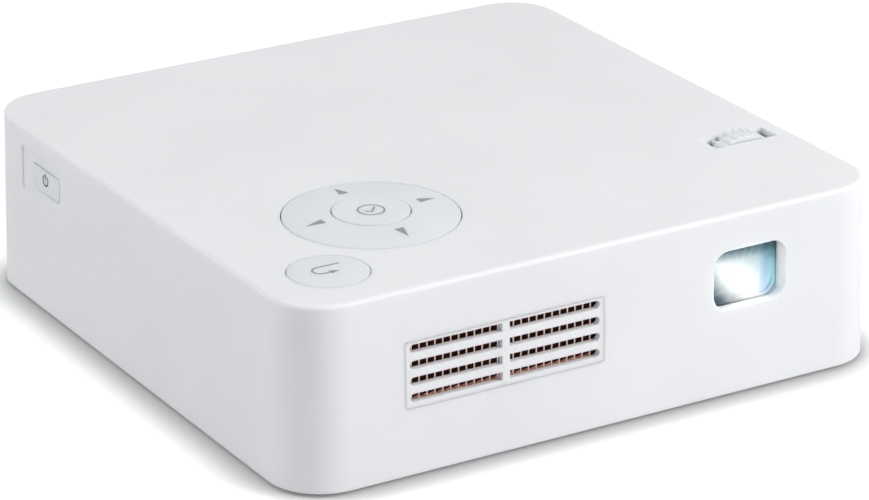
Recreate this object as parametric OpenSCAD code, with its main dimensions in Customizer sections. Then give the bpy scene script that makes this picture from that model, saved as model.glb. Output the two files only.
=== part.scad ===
// Palm-size LED projector with a square, slightly drafted housing on four rubber feet.
// Frame: +Z up, origin on the ground under the middle of the housing, lens facing -Y.
// The near corner of the photographed view is at -X, -Y.

/* [Housing] */
// Width and depth of the housing at its lower edge
body_w = 150; // [148:1:156]
// Height of the housing, feet not counted
body_h = 41.9; // [41.5:0.1:45]
// How far each side leans in between its lower and its upper edge
lean_in = 0.95; // [0.6:0.05:1.2]
// Radius of the upright corners at the lower edge
corner_r = 12.7; // [11.5:0.1:16]
// Radius of the rounded edge round the top
top_edge_r = 1.0; // [0.5:0.1:1.4]
// Wall of the sides
side_wall = 1.8; // [1.5:0.1:1.9]
// Wall of the top
top_wall = 1.8; // [1.6:0.1:2.0]
// Wall of the base
floor_t = 1.8; // [1.5:0.1:2.2]
// Height of the rim that stands up inside the cover
base_rim_h = 3.2; // [2:0.1:5]
// Thickness of that rim
base_rim_t = 1.2; // [0.9:0.1:1.6]
// Gap all round between cover and base
lid_gap = 0.15; // [0.1:0.05:0.3]

/* [Feet and case screws] */
// How far the feet stand out of the base
foot_h = 0.8; // [0.5:0.1:1.5]
// Radius of a foot
foot_r = 5; // [4:0.1:6]
// Depth of the pocket that a foot is glued into
foot_seat = 0.7; // [0.4:0.1:0.9]
// Distance from a side of the housing to a foot's centre
foot_inset = 19; // [18:0.5:22]
// Radius of a case screw's shank
screw_r = 1.1; // [0.9:0.05:1.3]
// Radius of a case screw's head
screw_head_r = 2.1; // [1.8:0.05:2.3]
// Height of a case screw's head
screw_head_h = 1.0; // [0.8:0.1:1.1]
// Length of a case screw's shank
screw_l = 9; // [7:0.5:12]
// Radius of a screw boss
boss_r = 2.8; // [2.5:0.1:3.0]
// Distance from a side of the housing to a boss's centre
boss_inset = 8.8; // [8.4:0.1:9.0]

/* [Tripod socket] */
// Radius of the threaded hole, for the common quarter-inch screw
tripod_r = 3.175; // [3.1:0.005:3.25]
// Depth of the threaded hole
tripod_depth = 6; // [5:0.5:8]
// Outer radius of the brass insert
insert_r = 4.8; // [4.4:0.1:5.5]
// Radius of the collar inside the base
insert_collar_r = 6.2; // [5.8:0.1:7]
// Place of the socket from the middle of the base, along Y
tripod_y = -17; // [-18:0.5:-14]

/* [Top keys] */
// From the left side to the middle of the direction ring
ring_from_left = 41.5; // [41.5:0.1:44]
// From the front to the middle of the direction ring
ring_from_front = 41; // [41:0.1:44]
// Outer radius of the direction ring
ring_r = 19.45; // [18.5:0.05:19.8]
// Gap round the direction ring, which tips
ring_gap = 0.25; // [0.2:0.05:0.4]
// Radius of the centre key
centre_r = 8.55; // [8:0.05:8.8]
// Gap round the centre key
centre_gap = 0.25; // [0.2:0.05:0.4]
// How far the edge of a key stands over the top
key_proud = 0.05; // [0:0.05:0.3]
// How far the direction ring and centre key rise together towards their middle
ring_rise = 1.0; // [0.6:0.05:1.2]
// How far the return key rises towards its middle
return_rise = 0.4; // [0.2:0.05:0.6]
// How far the centre key stands over the direction ring
centre_proud = 0.1; // [0:0.05:0.3]
// Angle by which the direction ring tips
tip_angle = 1.2; // [0.8:0.1:1.4]
// From the left side to the return key
return_from_left = 17.9; // [17.6:0.1:19]
// From the front to the return key
return_from_front = 18; // [17.6:0.1:19]
// Radius of the return key
return_r = 8.8; // [8:0.05:9.0]
// Gap round the return key
return_gap = 0.2; // [0.15:0.05:0.35]
// Width of the flange that keeps a key in its hole
key_flange_w = 0.9; // [0.6:0.1:1.1]
// Thickness of that flange
key_flange_t = 0.9; // [0.7:0.1:1.0]
// Travel of a push key
key_travel = 0.4; // [0.3:0.05:0.5]
// Radius of the stem under a key
key_stem_r = 1.5; // [1:0.1:2]
// From the ring's middle to its four stems
ring_stem_at = 16.8; // [16:0.1:17.2]
// Radius of the rocker's pivot pins
rocker_pin_r = 0.6; // [0.5:0.05:0.8]
// Inner radius of the rocker frame
rocker_r = 9.9; // [9.8:0.05:10.2]
// Width of the rocker frame's hoop
rocker_w = 1.3; // [1:0.1:1.5]
// Height of the rocker frame's hoop
rocker_h = 1.5; // [1.4:0.1:1.8]
// Thickness of the lugs that hold the rocker's pins
lug_t = 2; // [1.4:0.1:2.2]

/* [Key board] */
// From the top's inner face to the key board
key_board_drop = 7; // [7:0.1:7.4]
// Thickness of a circuit board
board_t = 1.2; // [0.8:0.1:1.4]
// From the ring's middle to the posts of the key board
key_post_at = 24; // [23.6:0.1:24.4]
// Radius of such a post
key_post_r = 2.2; // [1.9:0.1:2.4]
// Height of a tactile switch, its plunger included
switch_h = 1.5; // [1.2:0.1:1.6]
// Side of a tactile switch
switch_w = 4.5; // [4:0.1:5]
// Clear way left under a key at the end of its travel
key_over = 0.1; // [0.05:0.05:0.15]

/* [Power key] */
// Width of the power key
power_w = 13.8; // [12:0.1:15]
// Height of the power key
power_h = 5.5; // [5:0.1:6.2]
// Corner radius of the power key
power_r = 1; // [0.6:0.1:1.6]
// Gap round the power key
power_gap = 0.2; // [0.15:0.05:0.3]
// From the rear to the middle of the power key
power_from_back = 31.75; // [31:0.25:36]
// From the top to the middle of the power key
power_down = 10.2; // [9.9:0.1:11.3]
// How far the power key's face lies under the side's face
power_inset = 0.05; // [0:0.05:0.2]
// Travel of the power key
power_travel = 0.5; // [0.4:0.05:0.6]
// Length of the finger recess
recess_w = 25; // [22:0.5:27]
// Height of the finger recess
recess_h = 10.5; // [9.5:0.1:11]
// Depth of the finger recess at its rear end, fading to nothing
recess_d = 0.4; // [0.4:0.05:0.8]

/* [Focus drive] */
// Gear module of the focus drive
gear_m = 0.6; // [0.58:0.01:0.61]
// Teeth of the thumbwheel, as many as its finger ribs
wheel_teeth = 33; // [32:1:33]
// Teeth of the idler
idler_teeth = 14; // [14:1:15]
// Teeth of the focus ring
ring_teeth = 38; // [37:1:38]
// Width of the toothed rims
gear_w = 5.3; // [4.8:0.1:5.4]
// Play between two tooth flanks
backlash = 0.14; // [0.1:0.02:0.2]
// Width of the thumbwheel's ribbed rim, in front of its gear
finger_rim_w = 3.5; // [3:0.1:3.6]
// Depth of the finger ribs
rib_depth = 0.3; // [0.3:0.05:0.6]
// How far the thumbwheel stands over the top
wheel_proud = 1.4; // [1.2:0.1:1.6]
// From the right side to the thumbwheel's axle
wheel_from_right = 13.5; // [13.4:0.1:14]
// From the front to the middle of the thumbwheel
wheel_from_front = 38.9; // [38.5:0.1:40]
// Length of the slot in the top
slot_l = 16.8; // [16.4:0.1:17.6]
// Width of the slot in the top
slot_w = 6; // [6:0.1:6.4]
// Depth of the slot's floor beside the thumbwheel
slot_d = 1.0; // [0.6:0.1:1.2]
// Gap between the thumbwheel and its well in the top
well_gap = 0.35; // [0.3:0.05:0.5]
// Radius of the drive's axles
axle_r = 1.2; // [1:0.05:1.4]
// Running gap round axles, pins and sliding tubes
running_gap = 0.05; // [0.03:0.01:0.08]
// Gap that parts of one body keep where one is put into the other
seat_gap = 0.02; // [0.01:0.01:0.04]
// Thickness of the axle bracket's plates
bracket_t = 1.4; // [1.2:0.1:1.5]
// Side play of the wheels between those plates
side_play = 0.25; // [0.2:0.05:0.4]
// Advance of the lens carrier for one radian of the focus ring
focus_lead = 1.5; // [1.3:0.1:1.6]
// Half of the focus ring's turn, in degrees
ring_half_turn = 53; // [52.5:0.5:54]

/* [Lens] */
// From the right side to the lens axis
lens_from_right = 36.7; // [36.5:0.1:37]
// From the top to the lens axis
lens_down = 15.1; // [14.6:0.1:15.4]
// Width of the lens opening in the front
window_w = 19.2; // [18.5:0.1:20]
// Height of the lens opening
window_h = 13.6; // [13:0.1:14.4]
// Corner radius of the lens opening
window_r = 3.8; // [3:0.1:4.5]
// How far each side of the opening narrows towards the lens
window_flare = 1; // [0.5:0.1:1.4]
// Depth of the opening in front of the bezel
window_d = 2.5; // [2.2:0.1:2.8]
// Thickness of the lens bezel
bezel_t = 0.8; // [0.7:0.1:1.0]
// Rim of the bezel that shows round the lens
bezel_lip = 0.35; // [0.2:0.05:0.6]
// Width of the collar by which the bezel is held
bezel_hold = 2; // [1.5:0.1:2.4]
// Radius of the front lens
front_lens_r = 9.4; // [9.2:0.1:9.6]
// Radius of the front lens's curved face
front_lens_curve = 40; // [34:1:60]
// Gap between the bezel and the front lens
lens_gap = 0.15; // [0.1:0.05:0.3]
// Thickness of the front lens at its middle
front_lens_t = 4; // [3.6:0.1:4.4]
// Bore of the lens barrel
barrel_bore = 8.6; // [8.4:0.1:8.7]
// Wall of the lens barrel under the focus ring
barrel_wall = 0.9; // [0.8:0.05:1]
// Length of the focus ring's sleeve behind its teeth
sleeve_l = 6.4; // [6.2:0.1:6.8]
// Wall of the lens carrier
carrier_wall = 1; // [0.8:0.1:1.2]
// Length of the lens carrier
carrier_l = 28; // [26:0.5:29]
// Radius of the carrier's guide pin
guide_pin_r = 0.6; // [0.5:0.05:0.7]
// Gap round the guide pin in its two slots
guide_gap = 0.3; // [0.25:0.05:0.4]

/* [Light engine] */
// Width of the engine housing
engine_w = 34; // [33:0.5:35]
// Length of the engine housing
engine_l = 42; // [40:0.5:43]
// Height of the lens axis over the engine's underside
lens_over_engine = 13.4; // [12.7:0.1:13.6]
// Height of the engine housing without its lid
engine_h = 24.6; // [24:0.1:25]
// Wall of the engine housing
engine_wall = 1.6; // [1.2:0.1:2]
// Thickness of the engine lid
engine_lid_t = 1; // [0.8:0.1:1.4]
// Side of a light module's board
led_w = 13; // [11:0.5:14]
// Thickness of a light module's board
led_t = 1.6; // [1.2:0.1:2]
// Thickness of the heat plate behind the light modules
plate_t = 2.5; // [2:0.1:3]

/* [Cooling] */
// From the left side to the grille's outer end
grille_from_left = 26.2; // [26:0.1:28]
// Width of the grille insert
grille_w = 49.2; // [48:0.2:50]
// Height of the grille insert
grille_h = 14.9; // [14.6:0.1:15.4]
// From the top to the grille's upper edge
grille_down = 11.9; // [11.6:0.1:12.3]
// Thickness of the grille insert
grille_t = 2.2; // [2:0.1:2.4]
// Thickness of its bars
bar_t = 1.6; // [1.4:0.1:1.7]
// Gap round the grille insert
grille_gap = 0.05; // [0.05:0.05:0.2]
// Rows of slots
slot_rows = 4; // [3:1:4]
// Distance from one row of slots to the next
row_pitch = 3.7; // [3.6:0.05:3.8]
// Height of a slot
vent_h = 1.9; // [1.6:0.1:2.1]
// Width of the bar between the two columns of slots
mullion_w = 1.8; // [1.4:0.1:2.4]
// Frame left at each end of the rows
grille_side = 1.1; // [0.9:0.1:1.6]
// Frame left over the top row
grille_head = 0.6; // [0.5:0.1:0.9]
// Distance from one cooling fin to the next
fin_pitch = 1.93; // [1.85:0.01:2.0]
// Thickness of a fin
fin_t = 0.35; // [0.25:0.05:0.5]
// Number of fins
fin_count = 24; // [22:1:24]
// How far the fins sit right of the grille's middle
fin_shift = 0.3; // [0:0.05:0.4]
// Depth of the fins from front to back
fin_l = 16; // [14:0.5:16.5]
// Height of the fins
fin_h = 15.8; // [15.4:0.1:16.2]
// Thickness of the copper base under the fins
fin_base_t = 1.2; // [1:0.1:1.4]
// Gap between grille and fins
fin_gap = 0.4; // [0.4:0.1:0.8]
// Radius of the heat pipe
pipe_r = 2.5; // [2.2:0.1:2.6]
// Bend radius of the heat pipe, at its middle
pipe_bend = 9; // [8:0.5:10]

/* [Blower] */
// Height of the blower housing
blower_h = 15.4; // [15:0.1:15.6]
// Wall of the blower housing
blower_wall = 1; // [0.8:0.1:1.2]
// Radius of the impeller
impeller_r = 14; // [13:0.25:14.5]
// Gap between impeller and scroll where the scroll is narrowest
scroll_gap = 1.6; // [1.2:0.1:2]
// Growth of the scroll over one turn
scroll_growth = 5; // [4:0.25:5.5]
// Number of impeller blades
blade_count = 25; // [17:2:31]
// Thickness of a blade
blade_t = 0.6; // [0.5:0.05:0.8]
// Depth of the ring of blades
blade_ring_w = 4; // [3.5:0.25:4.5]
// Height of the blades
blade_h = 10.4; // [9.5:0.1:10.6]
// Radius of the motor cup
cup_r = 7.5; // [7:0.1:8]
// Wall of the motor cup
cup_wall = 0.9; // [0.7:0.1:1.1]
// Gap between the turning cup and the motor
motor_gap = 0.5; // [0.4:0.05:0.6]
// Radius of the motor's shaft
shaft_r = 1; // [0.8:0.05:1.2]
// Radius of the air inlet under the impeller
inlet_r = 11.5; // [10.5:0.1:12]
// Width of an air slot in the base
intake_w = 2; // [1.6:0.1:2.2]
// Distance from one air slot to the next
intake_pitch = 4; // [3.6:0.1:4.4]
// Number of air slots in the base
intake_count = 9; // [5:2:9]

/* [Boards, battery and speaker] */
// Height of the main board's underside over the ground
main_board_z = 18.6; // [18:0.1:19]
// Clear way between the main board and the heat plate
board_to_plate = 1.2; // [0.8:0.1:3]
// Clear way between the main board and the walls
board_margin = 3; // [2.6:0.1:4]
// Radius of the posts under the main board
post_r = 2.8; // [2.4:0.1:3.2]
// Clear way between the battery pack and the light engine
battery_to_engine = 7.8; // [4:0.2:12]
// Depth of the battery pack
battery_d = 46; // [42:0.5:48]
// Height of the battery pack
battery_h = 13; // [11:0.5:14]
// Radius of the battery pack's corners
battery_r = 3; // [2:0.25:5]
// From the left side to the battery pack
battery_from_left = 24.5; // [24:0.5:26]
// From the front to the battery pack
battery_from_front = 72; // [70:0.5:74]
// Gap between the battery and its cradle
battery_gap = 0.4; // [0.3:0.05:0.6]
// Radius of the loudspeaker
speaker_r = 14; // [12:0.5:15]
// Height of the loudspeaker
speaker_h = 9; // [7:0.5:11]
// From the right side to the loudspeaker's middle
speaker_from_right = 29; // [28.5:0.5:31]
// From the rear to the loudspeaker's middle
speaker_from_back = 32; // [31.5:0.5:33]
// Radius of a hole of the speaker grille
speaker_hole_r = 0.7; // [0.5:0.05:0.8]
// Rings of holes round the middle one
speaker_rings = 3; // [2:1:3]

/* [Rear sockets] */
// Width of the rear socket panel
panel_w = 92; // [90:0.5:96]
// Height of the rear socket panel
panel_h = 16; // [15.5:0.1:17]
// Thickness of the rear socket panel
panel_t = 1.8; // [1.6:0.1:1.9]
// Middle of the rear socket panel, from the middle of the housing
panel_x = -16; // [-18:0.5:-14]
// From the panel's face to the mouth of a socket
mouth_back = 0.6; // [0.4:0.1:0.9]
// Place of the power inlet along the panel
power_inlet_x = -54; // [-54.5:0.5:-53]
// Place of the audio socket along the panel
audio_x = -37; // [-38:0.5:-36]
// Place of the USB socket along the panel
usb_x = -14; // [-16:0.5:-12]
// Place of the HDMI socket along the panel
hdmi_x = 13; // [11:0.5:15]
// Radius of the audio socket's bore
audio_bore = 1.8; // [1.75:0.01:1.85]
// Length of the audio socket's bore
audio_l = 14; // [13:0.5:15]
// Gap between a socket and its hole in the panel
socket_gap = 0.3; // [0.2:0.05:0.4]

/* [Hidden] */
$fn = 72;

shell_white = [0.93, 0.93, 0.94];
key_white = [0.89, 0.91, 0.93];
bezel_black = [0.07, 0.08, 0.09];
copper = [0.72, 0.42, 0.32];
steel = [0.72, 0.73, 0.75];
brass = [0.78, 0.62, 0.32];
dark_plastic = [0.15, 0.15, 0.16];
board_green = [0.06, 0.3, 0.18];
rubber_grey = [0.35, 0.35, 0.36];
alloy = [0.66, 0.67, 0.69];
glass_blue = [0.78, 0.88, 0.95, 0.6];
foil_blue = [0.2, 0.32, 0.5];

eps = 0.01;
half = body_w / 2;
lean = lean_in / body_h;
lean_angle = atan(lean);
z_low = foot_h;
z_top = foot_h + body_h;
z_roof = z_top - top_wall;
z_floor = foot_h + floor_t;
cavity_h = body_h - top_wall;
base_half = half - side_wall - lid_gap;
base_corner_r = corner_r - side_wall - lid_gap;
boss_at = half - boss_inset;

// Places of the keys, and the heights under them, counted down from the top's inner face
ring_x = ring_from_left - half;
ring_y = ring_from_front - half;
return_x = return_from_left - half;
return_y = return_from_front - half;
ring_bore_r = ring_r + ring_gap;
z_key_edge = z_top + key_proud;
tip_drop = 0.7;
key_round = 0.2;
z_ring_low = z_roof - tip_drop - key_flange_t;
z_centre_low = z_ring_low - key_travel - key_flange_t;
z_key_board = z_roof - key_board_drop;
z_switch = z_key_board + switch_h;
z_stem = z_switch + key_travel + key_over;
z_pivot = z_ring_low - 2.8;
lug_at = rocker_r + rocker_w + 0.4;
z_return_low = z_roof - running_gap - key_flange_t;

// Lens axis and the faces along it
lens_x = half - lens_from_right;
lens_up = body_h - lens_down;
lens_z = z_low + lens_up;
engine_z = lens_z - lens_over_engine;
power_up = body_h - power_down;
grille_up = body_h - grille_down - grille_h;
face_y = -half + lean * lens_up;
bezel_y = face_y + window_d;
opening_w = window_w - 2 * window_flare;
wheel_y = wheel_from_front - half;
gear_y0 = wheel_y - gear_w / 2;
gear_y1 = wheel_y + gear_w / 2;
barrel_r = barrel_bore + barrel_wall;
barrel_step_r = barrel_r + 1.4;
lens_seat_y = bezel_y + bezel_t + lens_gap;
barrel_y0 = lens_seat_y + 0.5;
barrel_step_y = gear_y0 - side_play;
sleeve_y1 = gear_y1 + sleeve_l;
engine_y = sleeve_y1 + 1;
barrel_y1 = engine_y + engine_wall;
guide_y = gear_y1 + sleeve_l / 2;
focus_travel = focus_lead * ring_half_turn * PI / 180;
carrier_y1 = barrel_y1 - focus_travel - 0.6;

// Light engine: ports along its side, and their height
port_y = [engine_l * 0.3, engine_l * 0.66];
port_z = engine_z + engine_h / 2;

// Gears: pitch radii, tips, and the idler's place under the line between the two axes
addendum = 0.9 * gear_m;
dedendum = 1.2 * gear_m;
pressure = 20;
wheel_pitch_r = gear_m * wheel_teeth / 2;
idler_pitch_r = gear_m * idler_teeth / 2;
ring_pitch_r = gear_m * ring_teeth / 2;
wheel_r = wheel_pitch_r + addendum;
wheel_x = half - wheel_from_right;
wheel_z = z_top + wheel_proud - wheel_r;
axes_d = norm([wheel_x - lens_x, wheel_z - lens_z]);
ring_to_idler = ring_pitch_r + idler_pitch_r;
wheel_to_idler = wheel_pitch_r + idler_pitch_r;
along = (axes_d * axes_d + ring_to_idler * ring_to_idler - wheel_to_idler * wheel_to_idler) / (2 * axes_d);
aside = sqrt(ring_to_idler * ring_to_idler - along * along);
to_wheel = [(wheel_x - lens_x) / axes_d, (wheel_z - lens_z) / axes_d];
idler_x = lens_x + along * to_wheel[0] + aside * to_wheel[1];
idler_z = lens_z + along * to_wheel[1] - aside * to_wheel[0];

// Bracket of the drive: its plates clear the hubs, which stand out of the gears
hub_l = 0.9;
idler_y0 = gear_y0 + finger_rim_w + side_play;
bracket_post_r = 1.9;
bracket_x0 = lens_x + barrel_step_r + 0.7;
bracket_x1 = wheel_x + 6.5;
bracket_y0 = gear_y0 - side_play - hub_l - bracket_t;
bracket_y1 = gear_y1 + side_play + hub_l + bracket_t;
bracket_z = idler_z - idler_pitch_r - addendum - 0.8 - bracket_t;

// Tooth phases. Angles are about +Y, where +X is 0 and -Z is 90 degrees.
function turn_to(from, to) = atan2(-(to[1] - from[1]), to[0] - from[0]);
// Phase of a gear of n2 teeth that meshes with one of n1 teeth and phase p1, seen from it at angle a
function mesh_phase(a, n1, p1, n2) = a + 180 - (0.5 - (a - p1) * n1 / 360) * 360 / n2;
wheel_c = [wheel_x, wheel_z];
idler_c = [idler_x, idler_z];
lens_c = [lens_x, lens_z];
wheel_phase = -90;
idler_phase = mesh_phase(turn_to(wheel_c, idler_c), wheel_teeth, wheel_phase, idler_teeth);
ring_phase = mesh_phase(turn_to(idler_c, lens_c), idler_teeth, idler_phase, ring_teeth);

// Cooling
grille_x0 = grille_from_left - half;
grille_x = grille_x0 + grille_w / 2;
fins_x = grille_x + fin_shift;
fins_x0 = fins_x - (fin_count - 1) * fin_pitch / 2;
fins_y = -half + bar_t + fin_gap + lean * (grille_up + grille_h);
fins_y1 = fins_y + fin_l;
pipe_z = engine_z - 0.1 - pipe_r;
z_fin_base = pipe_z + pipe_r;
z_fins = z_fin_base + fin_base_t;
pipe_y = fins_y + fin_l / 2;
fin_post_r = 2;
blower_post_r = 2.3;
plate_x = lens_x + engine_w / 2 + led_t;
pipe_x = plate_x + pipe_r;
plate_y1 = engine_y + engine_l + led_t + plate_t;

// Blower: its axis lies behind the fins, its outlet meets them
blower_z = z_fin_base + 0.5;
blower_z1 = blower_z + blower_h;
scroll_r = impeller_r + scroll_gap;
blower_x = fins_x - 0.8;
blower_y = fins_y1 + scroll_r + scroll_growth + 1.2;
z_blades = blower_z + blower_wall + 0.8;
z_back_plate = z_blades + blade_h;
z_cup = z_blades + 1;
back_plate_t = 0.8;
outlet_half = (fin_count - 1) * fin_pitch / 2 + fin_t;
throat_half = outlet_half * 0.7;

// Boards, battery, speaker
main_board_y1 = half - side_wall - board_margin - lean_in;
main_board_x1 = half - side_wall - board_margin - lean_in;
main_board_y0 = plate_y1 + board_to_plate;
main_board_d = main_board_y1 - main_board_y0;
board_notch = 6;
post_at_x = main_board_x1 - 12;
post_y0 = main_board_y0 + 4.5;
post_y1 = main_board_y1 - 12;
battery_x0 = battery_from_left - half;
battery_w = lens_x - engine_w / 2 - battery_to_engine - battery_x0;
battery_x = battery_x0 + battery_w / 2;
battery_y = battery_from_front - half + battery_d / 2;
battery_z = z_floor + 0.1;
speaker_x = half - speaker_from_right;
speaker_y = half - speaker_from_back;
z_sockets = main_board_z + board_t;
panel_up = z_sockets - z_low - 1.8;
rear_y = half - lean * (panel_up + panel_h / 2);
mouth_y = rear_y - mouth_back;
// How far the power key's board reaches down, to stand on the main board
board_reach = power_up - (z_sockets - z_low) / cos(lean_angle) - 0.3;
hdmi = [15, 11.5, 6];
usb = [13.2, 14, 6.4];
audio_body = [7, audio_l, 6.4];
inlet = [9, 14, 11];
audio_z = z_sockets + audio_body[2] / 2;
inlet_z = z_sockets + inlet[2] * 0.55;

// ---- shared forms ----

// Right half of the upright section of a drafted block with a rounded or bevelled top edge
module block_section(half_w, h, edge_r, rounded)
{
  c = cos(lean_angle);
  s = sin(lean_angle);
  centre = half_w - (edge_r + s * (h - edge_r)) / c;
  polygon([[0, 0], [half_w, 0], [centre + edge_r * c, h - edge_r + edge_r * s], [centre, h], [0, h]]);
  if (rounded)
    translate([centre, h - edge_r])
      circle(r = edge_r);
}

// Square drafted block: four turned corners and two crossed straight parts
module drafted_block(w, h, r, edge_r, rounded)
{
  for (i = [0:3])
    rotate([0, 0, 90 * i])
      translate([w / 2 - r, w / 2 - r, 0])
        rotate_extrude(angle = 90)
          block_section(r, h, edge_r, rounded);
  for (turn = [0, 90])
    rotate([90, 0, turn])
      linear_extrude(height = w - 2 * r, center = true) {
        block_section(w / 2, h, edge_r, rounded);
        mirror([1, 0])
          block_section(w / 2, h, edge_r, rounded);
      }
}

// Rectangle with round corners, centred
module round_rect(w, h, r)
{
  square([w - 2 * r, h], center = true);
  square([w, h - 2 * r], center = true);
  for (sx = [-1, 1], sy = [-1, 1])
    translate([sx * (w / 2 - r), sy * (h / 2 - r)])
      circle(r = r);
}

// Places children on a side of the housing: X to the right, Y up the leaning face, Z outwards.
// A turn of 0 is the front, -90 the left side, 90 the right side and 180 the rear.
module on_side(turn)
{
  rotate([0, 0, turn])
    translate([0, -half, z_low])
      rotate([90 - lean_angle, 0, 0])
        children();
}

// Places children with their Z axis along +Y of the projector
module along_y(x, y, z)
{
  translate([x, y, z])
    rotate([-90, 0, 0])
      children();
}

module at_corners(reach)
{
  for (sx = [-1, 1], sy = [-1, 1])
    translate([sx * reach, sy * reach, 0])
      children();
}

module tube(r_out, r_in, h)
{
  difference() {
    cylinder(r = r_out, h = h);
    translate([0, 0, -1])
      cylinder(r = r_in, h = h + 2);
  }
}

// Involute of the base circle, as an angle in degrees
function involute(a) = (tan(a) - a * PI / 180) * 180 / PI;
function tooth_half_angle(teeth, r, base_r) =
  90 / teeth - backlash / 2 / (gear_m * teeth / 2) * 180 / PI
  + involute(pressure) - (r > base_r ? involute(acos(base_r / r)) : 0);
function polar(r, a) = [r * cos(a), r * sin(a)];

// Toothed disc with involute flanks, a tooth centred on the phase angle
module gear_outline(teeth, phase)
{
  pitch_r = gear_m * teeth / 2;
  base_r = pitch_r * cos(pressure);
  root_r = pitch_r - dedendum;
  steps = 4;
  start_r = max(base_r, root_r);
  radii = concat([root_r], [for (k = [0:steps]) start_r + (pitch_r + addendum - start_r) * k / steps]);
  flank = [for (r = radii) [r, tooth_half_angle(teeth, r, base_r)]];
  polygon([for (i = [0:teeth - 1], side = [-1, 1], k = [0:len(flank) - 1])
    let (f = flank[side < 0 ? k : len(flank) - 1 - k])
    polar(f[0], phase + i * 360 / teeth + side * f[1])]);
}

// ---- housing ----

module housing_cavity()
{
  below = 1;
  translate([0, 0, z_low - below])
    drafted_block(body_w - 2 * side_wall + 2 * lean * below, cavity_h + below,
      corner_r - side_wall + lean * below, 0.6, false);
}

// Opening for the lens, straight at top and bottom, flaring to both sides
module lens_opening()
{
  translate([lens_x, lens_up, 0]) {
    translate([0, 0, -window_d - 1])
      linear_extrude(height = window_d + 2)
        intersection() {
          round_rect(window_w, window_h, window_r);
          square([opening_w, window_h + 1], center = true);
        }
    intersection() {
      translate([0, 0, -window_d])
        linear_extrude(height = window_d + 1)
          round_rect(window_w, window_h, window_r);
      rotate([90, 0, 0])
        linear_extrude(height = window_h + 2, center = true)
          polygon([[-opening_w / 2, -window_d], [opening_w / 2, -window_d],
            [window_w / 2, 0], [window_w / 2, 1], [-window_w / 2, 1], [-window_w / 2, 0]]);
    }
  }
}

// Shallow dish for the fingertip round the power key, deepest at its rear end
module finger_recess()
{
  translate([-(half - power_from_back) - recess_w / 2, power_up, -recess_d])
    rotate([0, -atan(recess_d / recess_w), 0])
      translate([recess_w / 2, 0, 0])
        linear_extrude(height = recess_d + 2)
          round_rect(recess_w, recess_h, 0.8);
}

module top_cover()
{
  rib_reach = corner_r - lean_in / 2 - side_wall / 2 - (boss_at - (half - corner_r)) * sqrt(2);
  color(shell_white)
    difference() {
      union() {
        difference() {
          translate([0, 0, z_low])
            drafted_block(body_w, body_h, corner_r, top_edge_r, true);
          housing_cavity();
        }
        // Thicker wall round the lens opening, on which the bezel lies
        on_side(0)
          translate([lens_x, lens_up, -window_d])
            linear_extrude(height = window_d - side_wall / 2)
              round_rect(window_w + 3, window_h + 3, window_r + 1.5);
        // Screw bosses, each with a rib into its corner
        for (i = [0:3])
          rotate([0, 0, 90 * i])
            translate([boss_at, boss_at, z_floor + running_gap]) {
              cylinder(r = boss_r, h = z_roof - z_floor + eps);
              rotate([0, 0, 45])
                translate([0, -0.6, base_rim_h + 1])
                  cube([rib_reach, 1.2, z_roof - z_floor - base_rim_h - 1]);
            }
        // Posts that carry the key board
        key_posts()
          translate([0, 0, z_key_board])
            cylinder(r = key_post_r, h = z_roof - z_key_board + eps);
      }
      translate([ring_x, ring_y, z_roof - 1])
        cylinder(r = ring_bore_r, h = top_wall + 2);
      translate([return_x, return_y, z_roof - 1])
        cylinder(r = return_r + return_gap, h = top_wall + 2);
      // Slot of the thumbwheel: a shallow recess, the wheel's well, and a gap at its right end
      translate([wheel_x, wheel_y, z_top + 1]) {
        translate([-slot_l / 2, -slot_w / 2, -slot_d - 1])
          cube([slot_l, slot_w, slot_d + 1]);
        translate([0, -slot_w / 2, -top_wall - 2])
          cube([slot_l / 2, slot_w, top_wall + 2]);
      }
      along_y(wheel_x, wheel_y - slot_w / 2, wheel_z)
        cylinder(r = wheel_r + well_gap, h = slot_w);
      on_side(0) {
        lens_opening();
        translate([grille_x, grille_up + grille_h / 2, -side_wall - 1])
          linear_extrude(height = side_wall + 2)
            round_rect(grille_w + 2 * grille_gap, grille_h + 2 * grille_gap, 0.5);
      }
      on_side(-90) {
        finger_recess();
        translate([power_from_back - half, power_up, -side_wall - 1])
          linear_extrude(height = side_wall + 2)
            round_rect(power_w + 2 * power_gap, power_h + 2 * power_gap, power_r + power_gap);
      }
      on_side(180)
        translate([-panel_x, panel_up + panel_h / 2, -side_wall - 1])
          linear_extrude(height = side_wall + 2)
            round_rect(panel_w + 2 * grille_gap, panel_h + 2 * grille_gap, 1);
      // Pilot holes of the case screws and of the key board's screws
      at_corners(boss_at)
        translate([0, 0, z_floor - 1])
          cylinder(r = screw_r + seat_gap, h = screw_l + 2);
      key_posts()
        translate([0, 0, z_key_board - 1])
          cylinder(r = 0.8 + seat_gap, h = 6);
    }
}

module key_posts()
{
  for (a = [0, 90, 200])
    translate([ring_x + key_post_at * cos(a), ring_y + key_post_at * sin(a), 0])
      children();
}

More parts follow.
